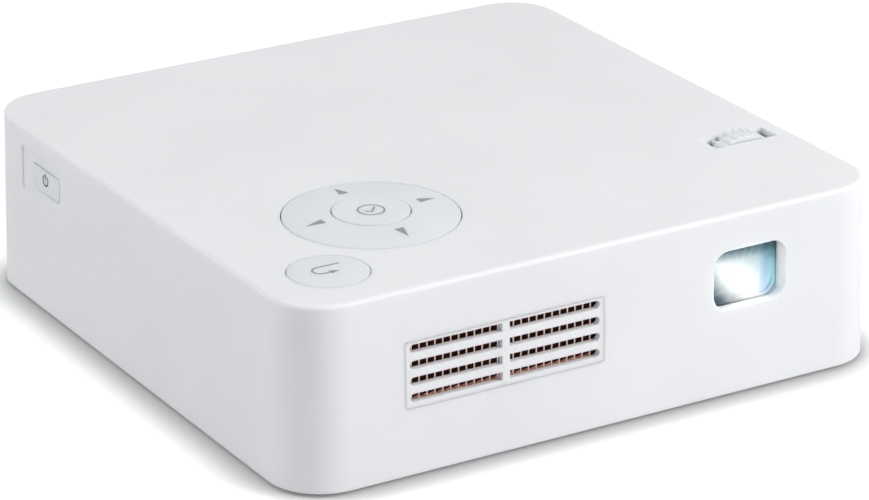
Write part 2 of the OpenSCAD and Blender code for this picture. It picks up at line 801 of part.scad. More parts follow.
module base_cover()
{
  color(shell_white)
    difference() {
      union() {
        translate([0, 0, z_low])
          linear_extrude(height = floor_t)
            round_rect(2 * base_half, 2 * base_half, base_corner_r);
        // Rim inside the cover
        translate([0, 0, z_low])
          linear_extrude(height = floor_t + base_rim_h)
            difference() {
              rim = base_half - lean * base_rim_h - 0.1;
              round_rect(2 * rim, 2 * rim, base_corner_r - 0.1);
              round_rect(2 * (rim - base_rim_t), 2 * (rim - base_rim_t),
                base_corner_r - base_rim_t);
            }
        // Cradle of the battery
        translate([battery_x, battery_y, z_floor - eps])
          linear_extrude(height = battery_h / 2)
            difference() {
              round_rect(battery_w + 2 * battery_gap + 3, battery_d + 2 * battery_gap + 3,
                battery_r + 1.5);
              round_rect(battery_w + 2 * battery_gap, battery_d + 2 * battery_gap, battery_r);
              square([battery_w - 24, battery_d + 20], center = true);
            }
        // Ring of the loudspeaker
        translate([speaker_x, speaker_y, z_floor - eps])
          tube(speaker_r + battery_gap + 1.5, speaker_r + battery_gap, speaker_h / 2);
        // Collar of the tripod insert
        translate([0, tripod_y, z_floor - eps])
          cylinder(r = insert_collar_r + 1.5, h = tripod_depth - 1.5);
        main_posts()
          floor_post(post_r, main_board_z);
        engine_posts()
          floor_post(post_r, engine_z);
        blower_posts()
          floor_post(blower_post_r, blower_z);
        bracket_posts()
          floor_post(bracket_post_r, bracket_z);
        fin_posts()
          floor_post(fin_post_r, z_fin_base);
      }
      // Notches that let the screw bosses through the rim
      at_corners(boss_at) {
        translate([0, 0, z_floor])
          cylinder(r = boss_r + 0.3, h = base_rim_h + 1);
        translate([0, 0, z_low - 1])
          cylinder(r = screw_r + 0.2, h = floor_t + 2);
        translate([0, 0, z_low - eps])
          cylinder(r = screw_head_r + 0.2, h = screw_head_h + 0.1 + eps);
      }
      at_corners(half - foot_inset)
        translate([0, 0, z_low - eps])
          cylinder(r = foot_r + 0.1, h = foot_seat + eps);
      translate([0, tripod_y, z_low - 1])
        cylinder(r = insert_r + seat_gap, h = tripod_depth + 4);
      // Air slots under the blower
      for (i = [0:intake_count - 1])
        translate([blower_x + (i - (intake_count - 1) / 2) * intake_pitch, blower_y, z_low - 1])
          linear_extrude(height = floor_t + 2)
            round_rect(intake_w, 2 * inlet_r, intake_w / 2 - eps);
      // Sound holes under the loudspeaker, in rings of six, twelve and so on
      translate([speaker_x, speaker_y, z_low - 1]) {
        cylinder(r = speaker_hole_r, h = floor_t + 2);
        for (k = [1:speaker_rings], j = [0:6 * k - 1])
          rotate([0, 0, j * 60 / k])
            translate([k * 3, 0, 0])
              cylinder(r = speaker_hole_r, h = floor_t + 2);
      }
      main_posts()
        translate([0, 0, main_board_z - 8])
          cylinder(r = screw_r + seat_gap, h = 10);
    }
}

// Post that stands on the base and ends at a height over the ground
module floor_post(r, z1)
{
  translate([0, 0, z_floor - eps])
    cylinder(r = r, h = z1 - z_floor + eps);
}

module main_posts()
{
  for (p = [[-post_at_x, post_y0], [post_at_x, post_y0], [-post_at_x, post_y1], [post_at_x, post_y1]])
    translate([p[0], p[1], 0])
      children();
}

module engine_posts()
{
  for (sx = [-1, 1], y = [engine_y + 4, engine_y + engine_l - 4])
    translate([lens_x + sx * (engine_w / 2 - 4), y, 0])
      children();
}

module blower_posts()
{
  for (p = [[-scroll_r, -6], [scroll_r, -6], [0, scroll_r]])
    translate([blower_x + p[0], blower_y + p[1], 0])
      children();
}

module bracket_posts()
{
  for (x = [bracket_x0 + 2.5, bracket_x1 - 2.2])
    translate([x, wheel_y, 0])
      children();
}

module fin_posts()
{
  for (sx = [-1, 1])
    translate([grille_x + sx * (grille_w / 2 - 4), fins_y1 - fin_post_r - 0.2, 0])
      children();
}

module rubber_feet()
{
  color(rubber_grey)
    at_corners(half - foot_inset)
      rotate_extrude()
        polygon([[0, 0], [foot_r - 0.4, 0], [foot_r, 0.4], [foot_r, foot_h + foot_seat],
          [0, foot_h + foot_seat]]);
}

// Pan-head screw, its head's underside at z = 0 and its shank upwards
module screw(shank_r, head_r, head_h, l)
{
  rotate_extrude()
    polygon([[0, -head_h], [head_r * 0.8, -head_h], [head_r, -head_h * 0.6], [head_r, 0],
      [shank_r, 0], [shank_r, l - 0.6], [shank_r - 0.4, l], [0, l]]);
}

module case_screws()
{
  color(steel)
    at_corners(boss_at)
      translate([0, 0, z_low + screw_head_h + 0.1])
        screw(screw_r, screw_head_r, screw_head_h, screw_l);
}

module tripod_insert()
{
  color(brass)
    translate([0, tripod_y, z_low])
      difference() {
        union() {
          cylinder(r = insert_r, h = floor_t + tripod_depth - 1.5 + 0.8);
          translate([0, 0, floor_t + tripod_depth - 1.5])
            cylinder(r = insert_collar_r, h = 0.8);
        }
        translate([0, 0, -1])
          cylinder(r = tripod_r, h = tripod_depth + 1);
      }
}

// ---- rear sockets ----

module rear_panel()
{
  hole_up = z_sockets - z_low;
  color(shell_white)
    on_side(180)
      difference() {
        union() {
          translate([-panel_x, panel_up + panel_h / 2, -panel_t])
            linear_extrude(height = panel_t)
              round_rect(panel_w, panel_h, 1);
          // Catches behind the wall
          for (sx = [-1, 1])
            translate([-panel_x + sx * (panel_w / 2), panel_up + panel_h / 2, -side_wall - 0.7])
              cube([2.4, panel_h * 0.6, 1.2], center = true);
          for (sx = [-1, 1])
            translate([-panel_x + sx * (panel_w / 2 - 0.6), panel_up + panel_h / 2,
                -side_wall - 0.1])
              cube([1.2, panel_h * 0.6, 2], center = true);
        }
        translate([-hdmi_x, hole_up + hdmi[2] / 2, -4])
          linear_extrude(height = 6)
            round_rect(hdmi[0] + 2 * socket_gap, hdmi[2] + 2 * socket_gap, 0.6);
        translate([-usb_x, hole_up + usb[2] / 2, -4])
          linear_extrude(height = 6)
            round_rect(usb[0] + 2 * socket_gap, usb[2] + 2 * socket_gap, 0.4);
        translate([-audio_x, hole_up + audio_body[2] / 2, -4])
          cylinder(r = 3 + socket_gap, h = 6);
        translate([-power_inlet_x, inlet_z - z_low, -4])
          cylinder(r = 3.9 + socket_gap, h = 6);
      }
}

module hdmi_socket()
{
  wall = 0.4;
  w = hdmi[0] / 2;
  h = hdmi[2];
  color(steel)
    along_y(hdmi_x, mouth_y - hdmi[1], z_sockets + h / 2)
      difference() {
        linear_extrude(height = hdmi[1])
          polygon([[-w, -h / 2], [w, -h / 2], [w, h * 0.1], [w - 1.4, h / 2],
            [-w + 1.4, h / 2], [-w, h * 0.1]]);
        translate([0, 0, 2])
          linear_extrude(height = hdmi[1])
            difference() {
              polygon([[-w + wall, -h / 2 + wall], [w - wall, -h / 2 + wall],
                [w - wall, h * 0.1 - wall / 2], [w - 1.4 - wall / 2, h / 2 - wall],
                [-w + 1.4 + wall / 2, h / 2 - wall], [-w + wall, h * 0.1 - wall / 2]]);
              translate([0, -0.2])
                square([w * 1.4, 1.3], center = true);
            }
        translate([0, 0, hdmi[1] - 1.2])
          cube([w * 1.6, 2.4, 4], center = true);
      }
}

module usb_socket()
{
  wall = 0.4;
  color(steel)
    along_y(usb_x, mouth_y - usb[1], z_sockets + usb[2] / 2)
      difference() {
        translate([-usb[0] / 2, -usb[2] / 2, 0])
          cube([usb[0], usb[2], usb[1]]);
        translate([0, 0, 3])
          linear_extrude(height = usb[1])
            difference() {
              square([usb[0] - 2 * wall, usb[2] - 2 * wall], center = true);
              translate([0, -1])
                square([usb[0] - 2.2, 1.8], center = true);
            }
      }
}

module audio_socket()
{
  body_back = 2;
  color(dark_plastic)
    difference() {
      union() {
        translate([audio_x - audio_body[0] / 2, mouth_y - audio_l, z_sockets])
          cube([audio_body[0], audio_l - body_back, audio_body[2]]);
        along_y(audio_x, mouth_y - body_back - eps, audio_z)
          cylinder(r = 3, h = body_back + eps);
      }
      along_y(audio_x, mouth_y - audio_l + 1, audio_z)
        cylinder(r = audio_bore, h = audio_l + 1);
    }
}

module power_inlet()
{
  body_back = 3.2;
  color(dark_plastic)
    difference() {
      union() {
        translate([power_inlet_x - inlet[0] / 2, mouth_y - inlet[1], z_sockets])
          cube([inlet[0], inlet[1] - body_back, inlet[2]]);
        along_y(power_inlet_x, mouth_y - body_back - eps, inlet_z)
          cylinder(r = 3.9, h = body_back + eps);
      }
      along_y(power_inlet_x, mouth_y - inlet[1] + 2, inlet_z)
        tube(2.8, 0.85, inlet[1]);
    }
}

// ---- cooling ----

// Insert with two columns of slots, whose outer ends are round and inner ends square
module vent_grille()
{
  slot_len = (grille_w - 2 * grille_side - mullion_w) / 2;
  color(shell_white)
    on_side(0)
      translate([grille_x, grille_up + grille_h / 2, 0])
        difference() {
          union() {
            translate([0, 0, -grille_t])
              linear_extrude(height = grille_t)
                round_rect(grille_w, grille_h, 0.4);
            // Snap tabs behind the wall
            for (sx = [-1, 1], sy = [-1, 1])
              translate([sx * grille_w / 2, sy * grille_h / 4, -side_wall - 0.5])
                cube([1.6, 2.4, 0.8], center = true);
          }
          // The bars are thinner than the ends
          translate([0, 0, -bar_t - 1])
            cube([grille_w - 2 * grille_side + 0.6, grille_h + 2, 2], center = true);
          for (i = [0:slot_rows - 1], side = [-1, 1])
            translate([side * (mullion_w / 2 + slot_len / 2),
                grille_h / 2 - grille_head - vent_h / 2 - i * row_pitch, -grille_t - 1])
              linear_extrude(height = grille_t + 2) {
                translate([-side * vent_h / 4, 0])
                  square([slot_len - vent_h / 2, vent_h], center = true);
                translate([side * (slot_len / 2 - vent_h / 2), 0])
                  circle(r = vent_h / 2);
              }
        }
}

module heat_sink()
{
  color(copper) {
    translate([fins_x0 - fin_t / 2, fins_y, z_fin_base])
      cube([(fin_count - 1) * fin_pitch + fin_t, fin_l, fin_base_t]);
    for (i = [0:fin_count - 1])
      translate([fins_x0 + i * fin_pitch - fin_t / 2, fins_y, z_fins - eps])
        cube([fin_t, fin_l, fin_h]);
  }
}

// Round pipe under the fins, bent once towards the light modules
module heat_pipe()
{
  x0 = fins_x0 + 3;
  color(copper) {
    translate([x0, pipe_y, pipe_z])
      rotate([0, 90, 0])
        cylinder(r = pipe_r, h = pipe_x - pipe_bend - x0);
    translate([x0, pipe_y, pipe_z])
      sphere(r = pipe_r);
    translate([pipe_x - pipe_bend, pipe_y + pipe_bend, pipe_z])
      rotate([0, 0, -90])
        rotate_extrude(angle = 90)
          translate([pipe_bend, 0])
            circle(r = pipe_r);
    along_y(pipe_x, pipe_y + pipe_bend, pipe_z)
      cylinder(r = pipe_r, h = plate_y1 - 3 - pipe_y - pipe_bend);
    translate([pipe_x, plate_y1 - 3, pipe_z])
      sphere(r = pipe_r);
  }
}

// Angled plate on the pipe that the three light modules are screwed to
module led_heat_plate()
{
  y0 = engine_y + 2;
  x0 = lens_x - led_w / 2;
  y_back = plate_y1 - plate_t;
  color(copper)
    translate([0, 0, z_fin_base])
      linear_extrude(height = engine_h - 3.6)
        polygon([[plate_x, y0], [plate_x + plate_t, y0], [plate_x + plate_t, plate_y1],
          [x0, plate_y1], [x0, y_back], [plate_x, y_back]]);
}

// ---- blower ----

function scroll(reach) = [for (a = [0:10:350])
  polar(scroll_r + reach + scroll_growth * a / 360, 200 + a)];

module blower_outline(reach)
{
  polygon(scroll(reach));
  polygon([[-throat_half - reach, 0], [-outlet_half - reach, fins_y1 + 0.3 - blower_y],
    [outlet_half + reach, fins_y1 + 0.3 - blower_y], [throat_half + reach, 0]]);
}

// Scroll that widens to an outlet as broad as the fins, open below for the air
module blower_housing()
{
  color(dark_plastic)
    translate([blower_x, blower_y, blower_z])
      difference() {
        linear_extrude(height = blower_h)
          blower_outline(blower_wall);
        translate([0, 0, blower_wall])
          linear_extrude(height = blower_h - 2 * blower_wall)
            blower_outline(0);
        translate([-outlet_half, fins_y1 - blower_y - 1, blower_wall])
          cube([2 * outlet_half, 3, blower_h - 2 * blower_wall]);
        translate([0, 0, -1])
          cylinder(r = inlet_r, h = blower_wall + 2);
      }
}

// Stator and shaft under the blower's upper wall
module blower_motor()
{
  stator_r = cup_r - cup_wall - motor_gap;
  z1 = blower_z1 - blower_wall;
  color(steel)
    translate([blower_x, blower_y, 0]) {
      translate([0, 0, z_cup + 1 + motor_gap])
        cylinder(r = stator_r, h = z1 - z_cup - 1 - motor_gap);
      translate([0, 0, z_cup + 0.1])
        cylinder(r = shaft_r, h = 3);
    }
}

// One forward-curved blade, as an arc between the inner and outer radius of the ring
module blade()
{
  r0 = impeller_r - blade_ring_w - 0.2;
  steps = 5;
  sweep = 14;
  mid = [for (k = [0:steps]) [r0 + blade_ring_w * k / steps, sweep * pow(k / steps, 2)]];
  turn = blade_t / 2 / impeller_r * 180 / PI;
  polygon(concat([for (p = mid) polar(p[0], p[1] - turn)],
    [for (k = [steps:-1:0]) polar(mid[k][0], mid[k][1] + turn)]));
}

module blower_impeller()
{
  color(dark_plastic)
    translate([blower_x, blower_y, 0]) {
      translate([0, 0, z_blades])
        linear_extrude(height = blade_h + eps)
          for (i = [0:blade_count - 1])
            rotate([0, 0, i * 360 / blade_count])
              blade();
      translate([0, 0, z_back_plate])
        tube(impeller_r, cup_r - cup_wall, back_plate_t);
      difference() {
        translate([0, 0, z_cup])
          cylinder(r = cup_r, h = z_back_plate + back_plate_t - z_cup);
        translate([0, 0, z_cup + 1])
          cylinder(r = cup_r - cup_wall, h = 20);
        translate([0, 0, z_cup - 1])
          cylinder(r = shaft_r + running_gap, h = 4);
      }
    }
}

// ---- top keys ----

// Height of a domed top over its edge: flat in the middle, falling off towards the rim
function dome(r, edge_r, rise) = rise * (1 - pow(r / edge_r, 4));

// Domed ring with a flange under the cover, four stems and two pivot lugs
module direction_ring()
{
  inner_r = centre_r + centre_gap;
  h = z_key_edge - z_ring_low;
  steps = 12;
  r0 = ring_r - key_round;
  r1 = inner_r + key_round / 2;
  color(key_white)
    translate([ring_x, ring_y, 0]) {
      translate([0, 0, z_ring_low])
        rotate_extrude()
          polygon(concat([[inner_r, 0], [ring_r + key_flange_w, 0],
            [ring_r + key_flange_w, key_flange_t], [ring_r, key_flange_t], [ring_r, h - key_round / 2]],
            [for (k = [0:steps]) let (r = r0 + (r1 - r0) * k / steps)
              [r, h + dome(r, ring_r, ring_rise)]],
            [[inner_r, h + dome(r1, ring_r, ring_rise) - key_round / 2]]));
      for (a = [0:90:270])
        rotate([0, 0, a])
          translate([ring_stem_at, 0, z_stem])
            cylinder(r = key_stem_r - 0.3, h = z_ring_low - z_stem + eps);
      rotate([0, 0, 90])
        pivot_lugs(z_pivot - 1.3, z_ring_low + eps);
    }
}

// Two lugs that the rocker's pins turn in
module pivot_lugs(z0, z1)
{
  for (a = [0, 180])
    rotate([0, 0, a])
      difference() {
        translate([lug_at, -1.6, z0])
          cube([lug_t, 3.2, z1 - z0]);
        translate([0, 0, z_pivot])
          rotate([0, 90, 0])
            cylinder(r = rocker_pin_r + running_gap, h = 30);
      }
}

// Hoop with four pins: two turn in the bracket and two carry the ring
module rocker_frame()
{
  color(dark_plastic)
    translate([ring_x, ring_y, z_pivot]) {
      translate([0, 0, -rocker_h / 2])
        tube(rocker_r + rocker_w, rocker_r, rocker_h);
      for (a = [0:90:270])
        rotate([0, 0, a])
          translate([rocker_r + rocker_w / 2, 0, 0])
            rotate([0, 90, 0])
              cylinder(r = rocker_pin_r, h = lug_at + lug_t - rocker_r - rocker_w / 2);
    }
}

module rocker_bracket()
{
  color(dark_plastic)
    translate([ring_x, ring_y, 0]) {
      translate([0, 0, z_key_board])
        tube(lug_at + lug_t, switch_w, 0.6);
      pivot_lugs(z_key_board + 0.5, z_pivot + 1.2);
    }
}

// Round key with a softened rim, a domed top, a flange at its foot and a stem
module round_key(r, z0, z1, dome_r, rise)
{
  steps = 8;
  translate([0, 0, z0])
    rotate_extrude()
      polygon(concat([[0, 0], [r + key_flange_w, 0], [r + key_flange_w, key_flange_t],
        [r, key_flange_t], [r, z1 - z0 + dome(r, dome_r, rise) - key_round / 2]],
        [for (k = [0:steps]) let (x = (r - key_round) * (1 - k / steps))
          [x, z1 - z0 + dome(x, dome_r, rise)]]));
  translate([0, 0, z_stem])
    cylinder(r = key_stem_r, h = z0 - z_stem + eps);
}

module centre_key()
{
  color(key_white)
    translate([ring_x, ring_y, 0])
      round_key(centre_r, z_centre_low, z_key_edge + centre_proud, ring_r, ring_rise);
}

module return_key()
{
  color(key_white)
    difference() {
      translate([return_x, return_y, 0])
        round_key(return_r, z_return_low, z_key_edge, return_r, return_rise);
      // Its flange passes the corner's screw boss
      translate([-boss_at, -boss_at, z_return_low - 1])
        cylinder(r = boss_r + 0.3, h = key_flange_t + 2);
    }
}

module tact_switch()
{
  translate([-switch_w / 2, -switch_w / 2, 0])
    cube([switch_w, switch_w, switch_h * 0.7]);
  cylinder(r = 1.1, h = switch_h);
}

// Board under the keys with six tactile switches
module key_board()
{
  disc_r = key_post_at + key_post_r;
  color(board_green) {
    translate([0, 0, z_key_board - board_t])
      linear_extrude(height = board_t)
        difference() {
          union() {
            translate([ring_x, ring_y])
              circle(r = disc_r);
            translate([return_x, return_y])
              circle(r = return_r);
          }
          key_posts()
            circle(r = 0.9);
        }
    translate([ring_x, ring_y, z_key_board - eps]) {
      tact_switch();
      for (a = [0:90:270])
        rotate([0, 0, a])
          translate([ring_stem_at, 0, 0])
            tact_switch();
    }
    translate([return_x, return_y, z_key_board - eps])
      tact_switch();
  }
}

module key_board_screws()
{
  color(steel)
    key_posts()
      translate([0, 0, z_key_board - board_t])
        screw(0.8, 1.6, 0.8, 5);
}

// ---- power key ----

module power_key()
{
  color(key_white)
    on_side(-90)
      translate([power_from_back - half, power_up, 0]) {
        translate([0, 0, -side_wall - 0.2])
          linear_extrude(height = side_wall + 0.2 - power_inset)
            round_rect(power_w, power_h, power_r);
        translate([0, 0, -side_wall - 1])
          linear_extrude(height = 0.9)
            round_rect(power_w + 1.4, power_h + 1.4, power_r + 0.7);
        translate([0, 0, -side_wall - 2.6])
          cylinder(r = key_stem_r, h = 2);
      }
}

// Small upright board behind the power key, with its switch
module power_switch_board()
{
  back = side_wall + 2.6 + power_travel + key_over;
  color(board_green)
    on_side(-90)
      translate([power_from_back - half, power_up, -back]) {
        translate([0, 0, -switch_h])
          tact_switch();
        translate([-9, -board_reach, -switch_h - board_t])
          cube([18, board_reach + 4, board_t + eps]);
      }
}

// ---- focus drive ----

// Hole for an axle right through the bracket
module axle_hole(c, gap)
{
  along_y(c[0], bracket_y0 - 1, c[1])
    cylinder(r = axle_r + gap, h = bracket_y1 - bracket_y0 + 2);
}

// Rim of the thumbwheel with rounded ribs, in line with the teeth
module rib_outline()
{
  n = 8 * wheel_teeth;
  polygon([for (i = [0:n - 1]) let (a = i * 360 / n)
    polar(wheel_r - rib_depth * (1 - cos(a * wheel_teeth)) / 2, wheel_phase + a)]);
}

// Thumbwheel: finger rim in front, gear behind
module focus_wheel()
{
  color(key_white)
    difference() {
      union() {
        along_y(wheel_x, gear_y0, wheel_z)
          linear_extrude(height = finger_rim_w + eps)
            rib_outline();
        along_y(wheel_x, gear_y0 + finger_rim_w, wheel_z)
          linear_extrude(height = gear_w - finger_rim_w)
            gear_outline(wheel_teeth, wheel_phase);
        along_y(wheel_x, gear_y0 - hub_l, wheel_z)
          cylinder(r = axle_r + 1.8, h = gear_w + 2 * hub_l);
      }
      axle_hole(wheel_c, running_gap);
      // Moulded recess in both faces
      for (y = [gear_y0 - 1, gear_y1 - 1.2])
        along_y(wheel_x, y, wheel_z)
          tube(wheel_pitch_r - 2, axle_r + 2.6, 2.2);
    }
}

module focus_idler()
{
  color(dark_plastic)
    difference() {
      union() {
        along_y(idler_x, idler_y0, idler_z)
          linear_extrude(height = gear_y1 - idler_y0)
            gear_outline(idler_teeth, idler_phase);
        along_y(idler_x, gear_y0 - hub_l, idler_z)
          cylinder(r = axle_r + 0.9, h = gear_w + 2 * hub_l);
      }
      axle_hole(idler_c, running_gap);
    }
}

module focus_axles()
{
  color(steel)
    for (c = [wheel_c, idler_c])
      along_y(c[0], bracket_y0, c[1])
        cylinder(r = axle_r, h = bracket_y1 - bracket_y0);
}

// Two upright plates on a foot plate, standing on posts of the base
module focus_bracket()
{
  rim = 3;
  color(alloy)
    difference() {
      union() {
        for (y = [bracket_y0, bracket_y1 - bracket_t])
          along_y(0, y, 0)
            linear_extrude(height = bracket_t) {
              polygon([[bracket_x0, -bracket_z], [bracket_x1, -bracket_z],
                [wheel_x + rim, -wheel_z], [wheel_x - rim, -wheel_z - 1],
                [bracket_x0, -idler_z - 3]]);
              translate([wheel_x, -wheel_z])
                circle(r = rim);
            }
        translate([bracket_x0, bracket_y0, bracket_z])
          cube([bracket_x1 - bracket_x0, bracket_y1 - bracket_y0, bracket_t]);
      }
      for (c = [wheel_c, idler_c])
        axle_hole(c, seat_gap);
    }
}

// Toothed ring with a sleeve, in which a helical slot leads the carrier's pin
module focus_ring()
{
  root_r = ring_pitch_r - dedendum;
  pin_half = guide_pin_r + guide_gap;
  slot_h = 2 * (focus_travel + pin_half);
  slot_turn = slot_h / focus_lead * 180 / PI;
  slot_half = pin_half / focus_lead * 180 / PI;
  color(dark_plastic)
    difference() {
      union() {
        along_y(lens_x, gear_y0, lens_z)
          linear_extrude(height = gear_w)
            gear_outline(ring_teeth, ring_phase);
        along_y(lens_x, gear_y1 - eps, lens_z)
          cylinder(r = root_r, h = sleeve_l + eps);
      }
      along_y(lens_x, gear_y0 - 1, lens_z)
        cylinder(r = barrel_r + running_gap, h = gear_w + sleeve_l + 2);
      along_y(lens_x, guide_y - slot_h / 2, lens_z)
        rotate([0, 0, -90 - slot_turn / 2])
          linear_extrude(height = slot_h, twist = -slot_turn, slices = 24, $fn = 12)
            polygon(concat([for (a = [-1:0.5:1]) polar(barrel_r - 0.5, a * slot_half)],
              [for (a = [1:-0.5:-1]) polar(root_r + 1, a * slot_half)]));
    }
}

// Fixed tube with the seat of the front lens, a shoulder for the ring and a straight guide slot
module lens_barrel()
{
  seat_l = front_lens_t + lens_seat_y - barrel_y0 + seat_gap;
  color(bezel_black)
    difference() {
      along_y(lens_x, 0, lens_z)
        rotate_extrude()
          polygon([[barrel_bore, barrel_y0 + seat_l], [front_lens_r + seat_gap, barrel_y0 + seat_l],
            [front_lens_r + seat_gap, barrel_y0], [barrel_step_r, barrel_y0],
            [barrel_step_r, barrel_step_y], [barrel_r, barrel_step_y], [barrel_r, barrel_y1],
            [barrel_bore, barrel_y1]]);
      translate([lens_x - guide_pin_r - 0.1, guide_y - focus_travel - guide_pin_r - guide_gap, lens_z])
        cube([2 * guide_pin_r + 0.2, 2 * (focus_travel + guide_pin_r + guide_gap), barrel_r + 2]);
    }
}

// Lens element of revolution between a front curve and a flat or hollow back
module lens_element(r, curve, t, back_curve)
{
  rotate_extrude()
    difference() {
      intersection() {
        square([r, t]);
        translate([0, curve])
          circle(r = curve, $fn = 180);
      }
      translate([0, t + sqrt(back_curve * back_curve - 1) - 0.4])
        circle(r = back_curve, $fn = 180);
    }
}

module front_lens()
{
  color(glass_blue)
    along_y(lens_x, lens_seat_y, lens_z)
      lens_element(front_lens_r, front_lens_curve, front_lens_t, 40);
}

module lens_bezel()
{
  color(bezel_black)
    on_side(0)
      translate([lens_x, lens_up, -window_d - bezel_t])
        linear_extrude(height = bezel_t)
          difference() {
            round_rect(opening_w + 2 * bezel_hold, window_h + 2 * bezel_hold,
              window_r + bezel_hold - 0.5);
            round_rect(opening_w - 2 * bezel_lip, window_h - 2 * bezel_lip,
              window_r - bezel_lip);
          }
}

// Tube that slides in the barrel, with the pin that the focus ring drives
module lens_carrier()
{
  r = barrel_bore - running_gap;
  color(alloy) {
    along_y(lens_x, carrier_y1 - carrier_l, lens_z)
      tube(r, r - carrier_wall, carrier_l);
    translate([lens_x, guide_y, lens_z + r - carrier_wall / 2])
      cylinder(r = guide_pin_r, h = carrier_wall / 2 + running_gap + barrel_wall + 0.9);
  }
}

module focus_lenses()
{
  r = barrel_bore - running_gap - carrier_wall - seat_gap;
  color(glass_blue)
    for (k = [0.12, 0.7])
      along_y(lens_x, carrier_y1 - carrier_l * (1 - k), lens_z)
        lens_element(r, 14, 4.2, 30);
}

// ---- light engine ----

module engine_housing()
{
  w = engine_w;
  color(alloy)
    difference() {
      translate([lens_x - w / 2, engine_y, engine_z])
        difference() {
          cube([w, engine_l, engine_h]);
          translate([engine_wall, engine_wall, engine_wall])
            cube([w - 2 * engine_wall, engine_l - 2 * engine_wall, engine_h]);
          // Opening for the imaging chip
          translate([-1, port_y[0] - 5, engine_h / 2 - 4])
            cube([engine_wall + 2, 10, 8]);
        }
      // Bore for the barrel's end, and the ports of the three light modules
      along_y(lens_x, engine_y - 1, lens_z)
        cylinder(r = barrel_r + seat_gap, h = engine_wall + 2);
      for (y = port_y)
        at_side_port(y, -1)
          cylinder(r = 4, h = engine_wall + 2);
      at_rear_port(-1)
        cylinder(r = 4, h = engine_wall + 2);
    }
}

module engine_lid()
{
  color(alloy)
    translate([lens_x - engine_w / 2, engine_y, engine_z + engine_h])
      cube([engine_w, engine_l, engine_lid_t]);
}

module imager_board()
{
  color(board_green)
    translate([lens_x - engine_w / 2 - board_t, engine_y + 1, engine_z + 2]) {
      cube([board_t, engine_l * 0.6, engine_h - 5]);
      translate([board_t - eps, port_y[0] - 5.5, engine_h / 2 - 5.5])
        cube([1.2, 9, 7]);
    }
}

// Board with its emitter under a small window. Z points into the engine.
module light_module()
{
  translate([-led_w / 2, -led_w / 2, -led_t])
    cube([led_w, led_w, led_t]);
  translate([-2, -2, -eps])
    cube([4, 4, 0.8]);
}

// Place of a side port, Z into the engine
module at_side_port(y, depth)
{
  translate([lens_x + engine_w / 2 - depth, engine_y + y, port_z])
    rotate([0, -90, 0])
      children();
}

module at_rear_port(depth)
{
  translate([lens_x, engine_y + engine_l - depth, port_z])
    rotate([90, 0, 0])
      children();
}

module red_led()
{
  color([0.75, 0.2, 0.15])
    at_side_port(port_y[0], 0)
      light_module();
}

module blue_led()
{
  color([0.2, 0.3, 0.75])
    at_side_port(port_y[1], 0)
      light_module();
}

module green_led()
{
  color([0.2, 0.6, 0.3])
    at_rear_port(0)
      light_module();
}

module collimator_lenses()
{
  stand = 1.2;
  color(glass_blue) {
    for (y = port_y)
      at_side_port(y, stand)
        collimator();
    at_rear_port(stand)
      collimator();
  }
}

// Domed lens that fills its port's mouth, flat towards the emitter
module collimator()
{
  rotate_extrude()
    intersection() {
      union() {
        square([3.9, 1.2]);
        translate([0, -1])
          circle(r = 5);
      }
      square([3.9, 5]);
    }
}

// Two coated plates on edge, which fold the three colours into one beam
module dichroic_plates()
{
  color([0.75, 0.7, 0.9, 0.6])
    for (y = port_y)
      translate([lens_x, engine_y + y, engine_z + engine_wall])
        rotate([0, 0, 45])
          translate([-7, -0.5, 0])
            cube([14, 1, engine_h - 2 * engine_wall - 4.4]);
}

// ---- boards, battery and speaker ----

module main_board()
{
  w = 2 * main_board_x1;
  chips = [[-40, 14, 14, 14, 1.6], [-14, 18, 10, 12, 1.2], [-14, 3, 12, 8, 1.2], [30, 20, 18, 18, 2],
    [4, 8, 7, 7, 4], [14, 8, 7, 7, 4], [46, 12, 6, 16, 5], [-50, 2, 10, 6, 3]];
  color(board_green) {
    translate([0, (main_board_y0 + main_board_y1) / 2, main_board_z])
      linear_extrude(height = board_t)
        difference() {
          round_rect(w, main_board_d, 6);
          translate([0, -(main_board_y0 + main_board_y1) / 2]) {
            main_posts()
              circle(r = screw_r + 0.2);
            at_corners(boss_at + board_notch)
              square(2 * (board_notch + boss_r + 0.6), center = true);
          }
        }
    for (c = chips)
      translate([c[0], main_board_y0 + c[1], z_sockets - eps])
        cube([c[2], c[3], c[4]]);
  }
}

module board_screws()
{
  color(steel)
    main_posts()
      translate([0, 0, z_sockets])
        mirror([0, 0, 1])
          screw(screw_r, screw_head_r, screw_head_h, 7);
}

module battery_pack()
{
  color(foil_blue)
    translate([battery_x, battery_y, battery_z]) {
      linear_extrude(height = battery_h)
        round_rect(battery_w, battery_d, battery_r);
      translate([-battery_w / 2 + 6, battery_d / 2 - 3, battery_h - eps])
        cube([14, 3, 1.4]);
    }
}

module speaker()
{
  r = speaker_r;
  h = speaker_h;
  color(dark_plastic)
    translate([speaker_x, speaker_y, z_floor])
      rotate_extrude()
        polygon([[0, h * 0.45], [r * 0.3, h * 0.5], [r * 0.75, h * 0.2], [r * 0.88, h * 0.28],
          [r * 0.94, 0], [r, 0], [r, h * 0.3], [r * 0.6, h * 0.6], [r * 0.6, h], [0, h]]);
}

top_cover();
base_cover();
rubber_feet();
case_screws();
tripod_insert();
rear_panel();
vent_grille();
heat_sink();
heat_pipe();
led_heat_plate();
blower_housing();
blower_motor();
blower_impeller();
direction_ring();
rocker_frame();
rocker_bracket();
centre_key();
return_key();
key_board();
key_board_screws();
power_key();
power_switch_board();
focus_wheel();
focus_idler();
focus_axles();
focus_bracket();
focus_ring();
lens_barrel();
front_lens();
lens_bezel();
lens_carrier();
focus_lenses();
engine_housing();
engine_lid();
imager_board();
red_led();
green_led();
blue_led();
collimator_lenses();
dichroic_plates();
main_board();
board_screws();
battery_pack();
speaker();
hdmi_socket();
usb_socket();
audio_socket();
power_inlet();
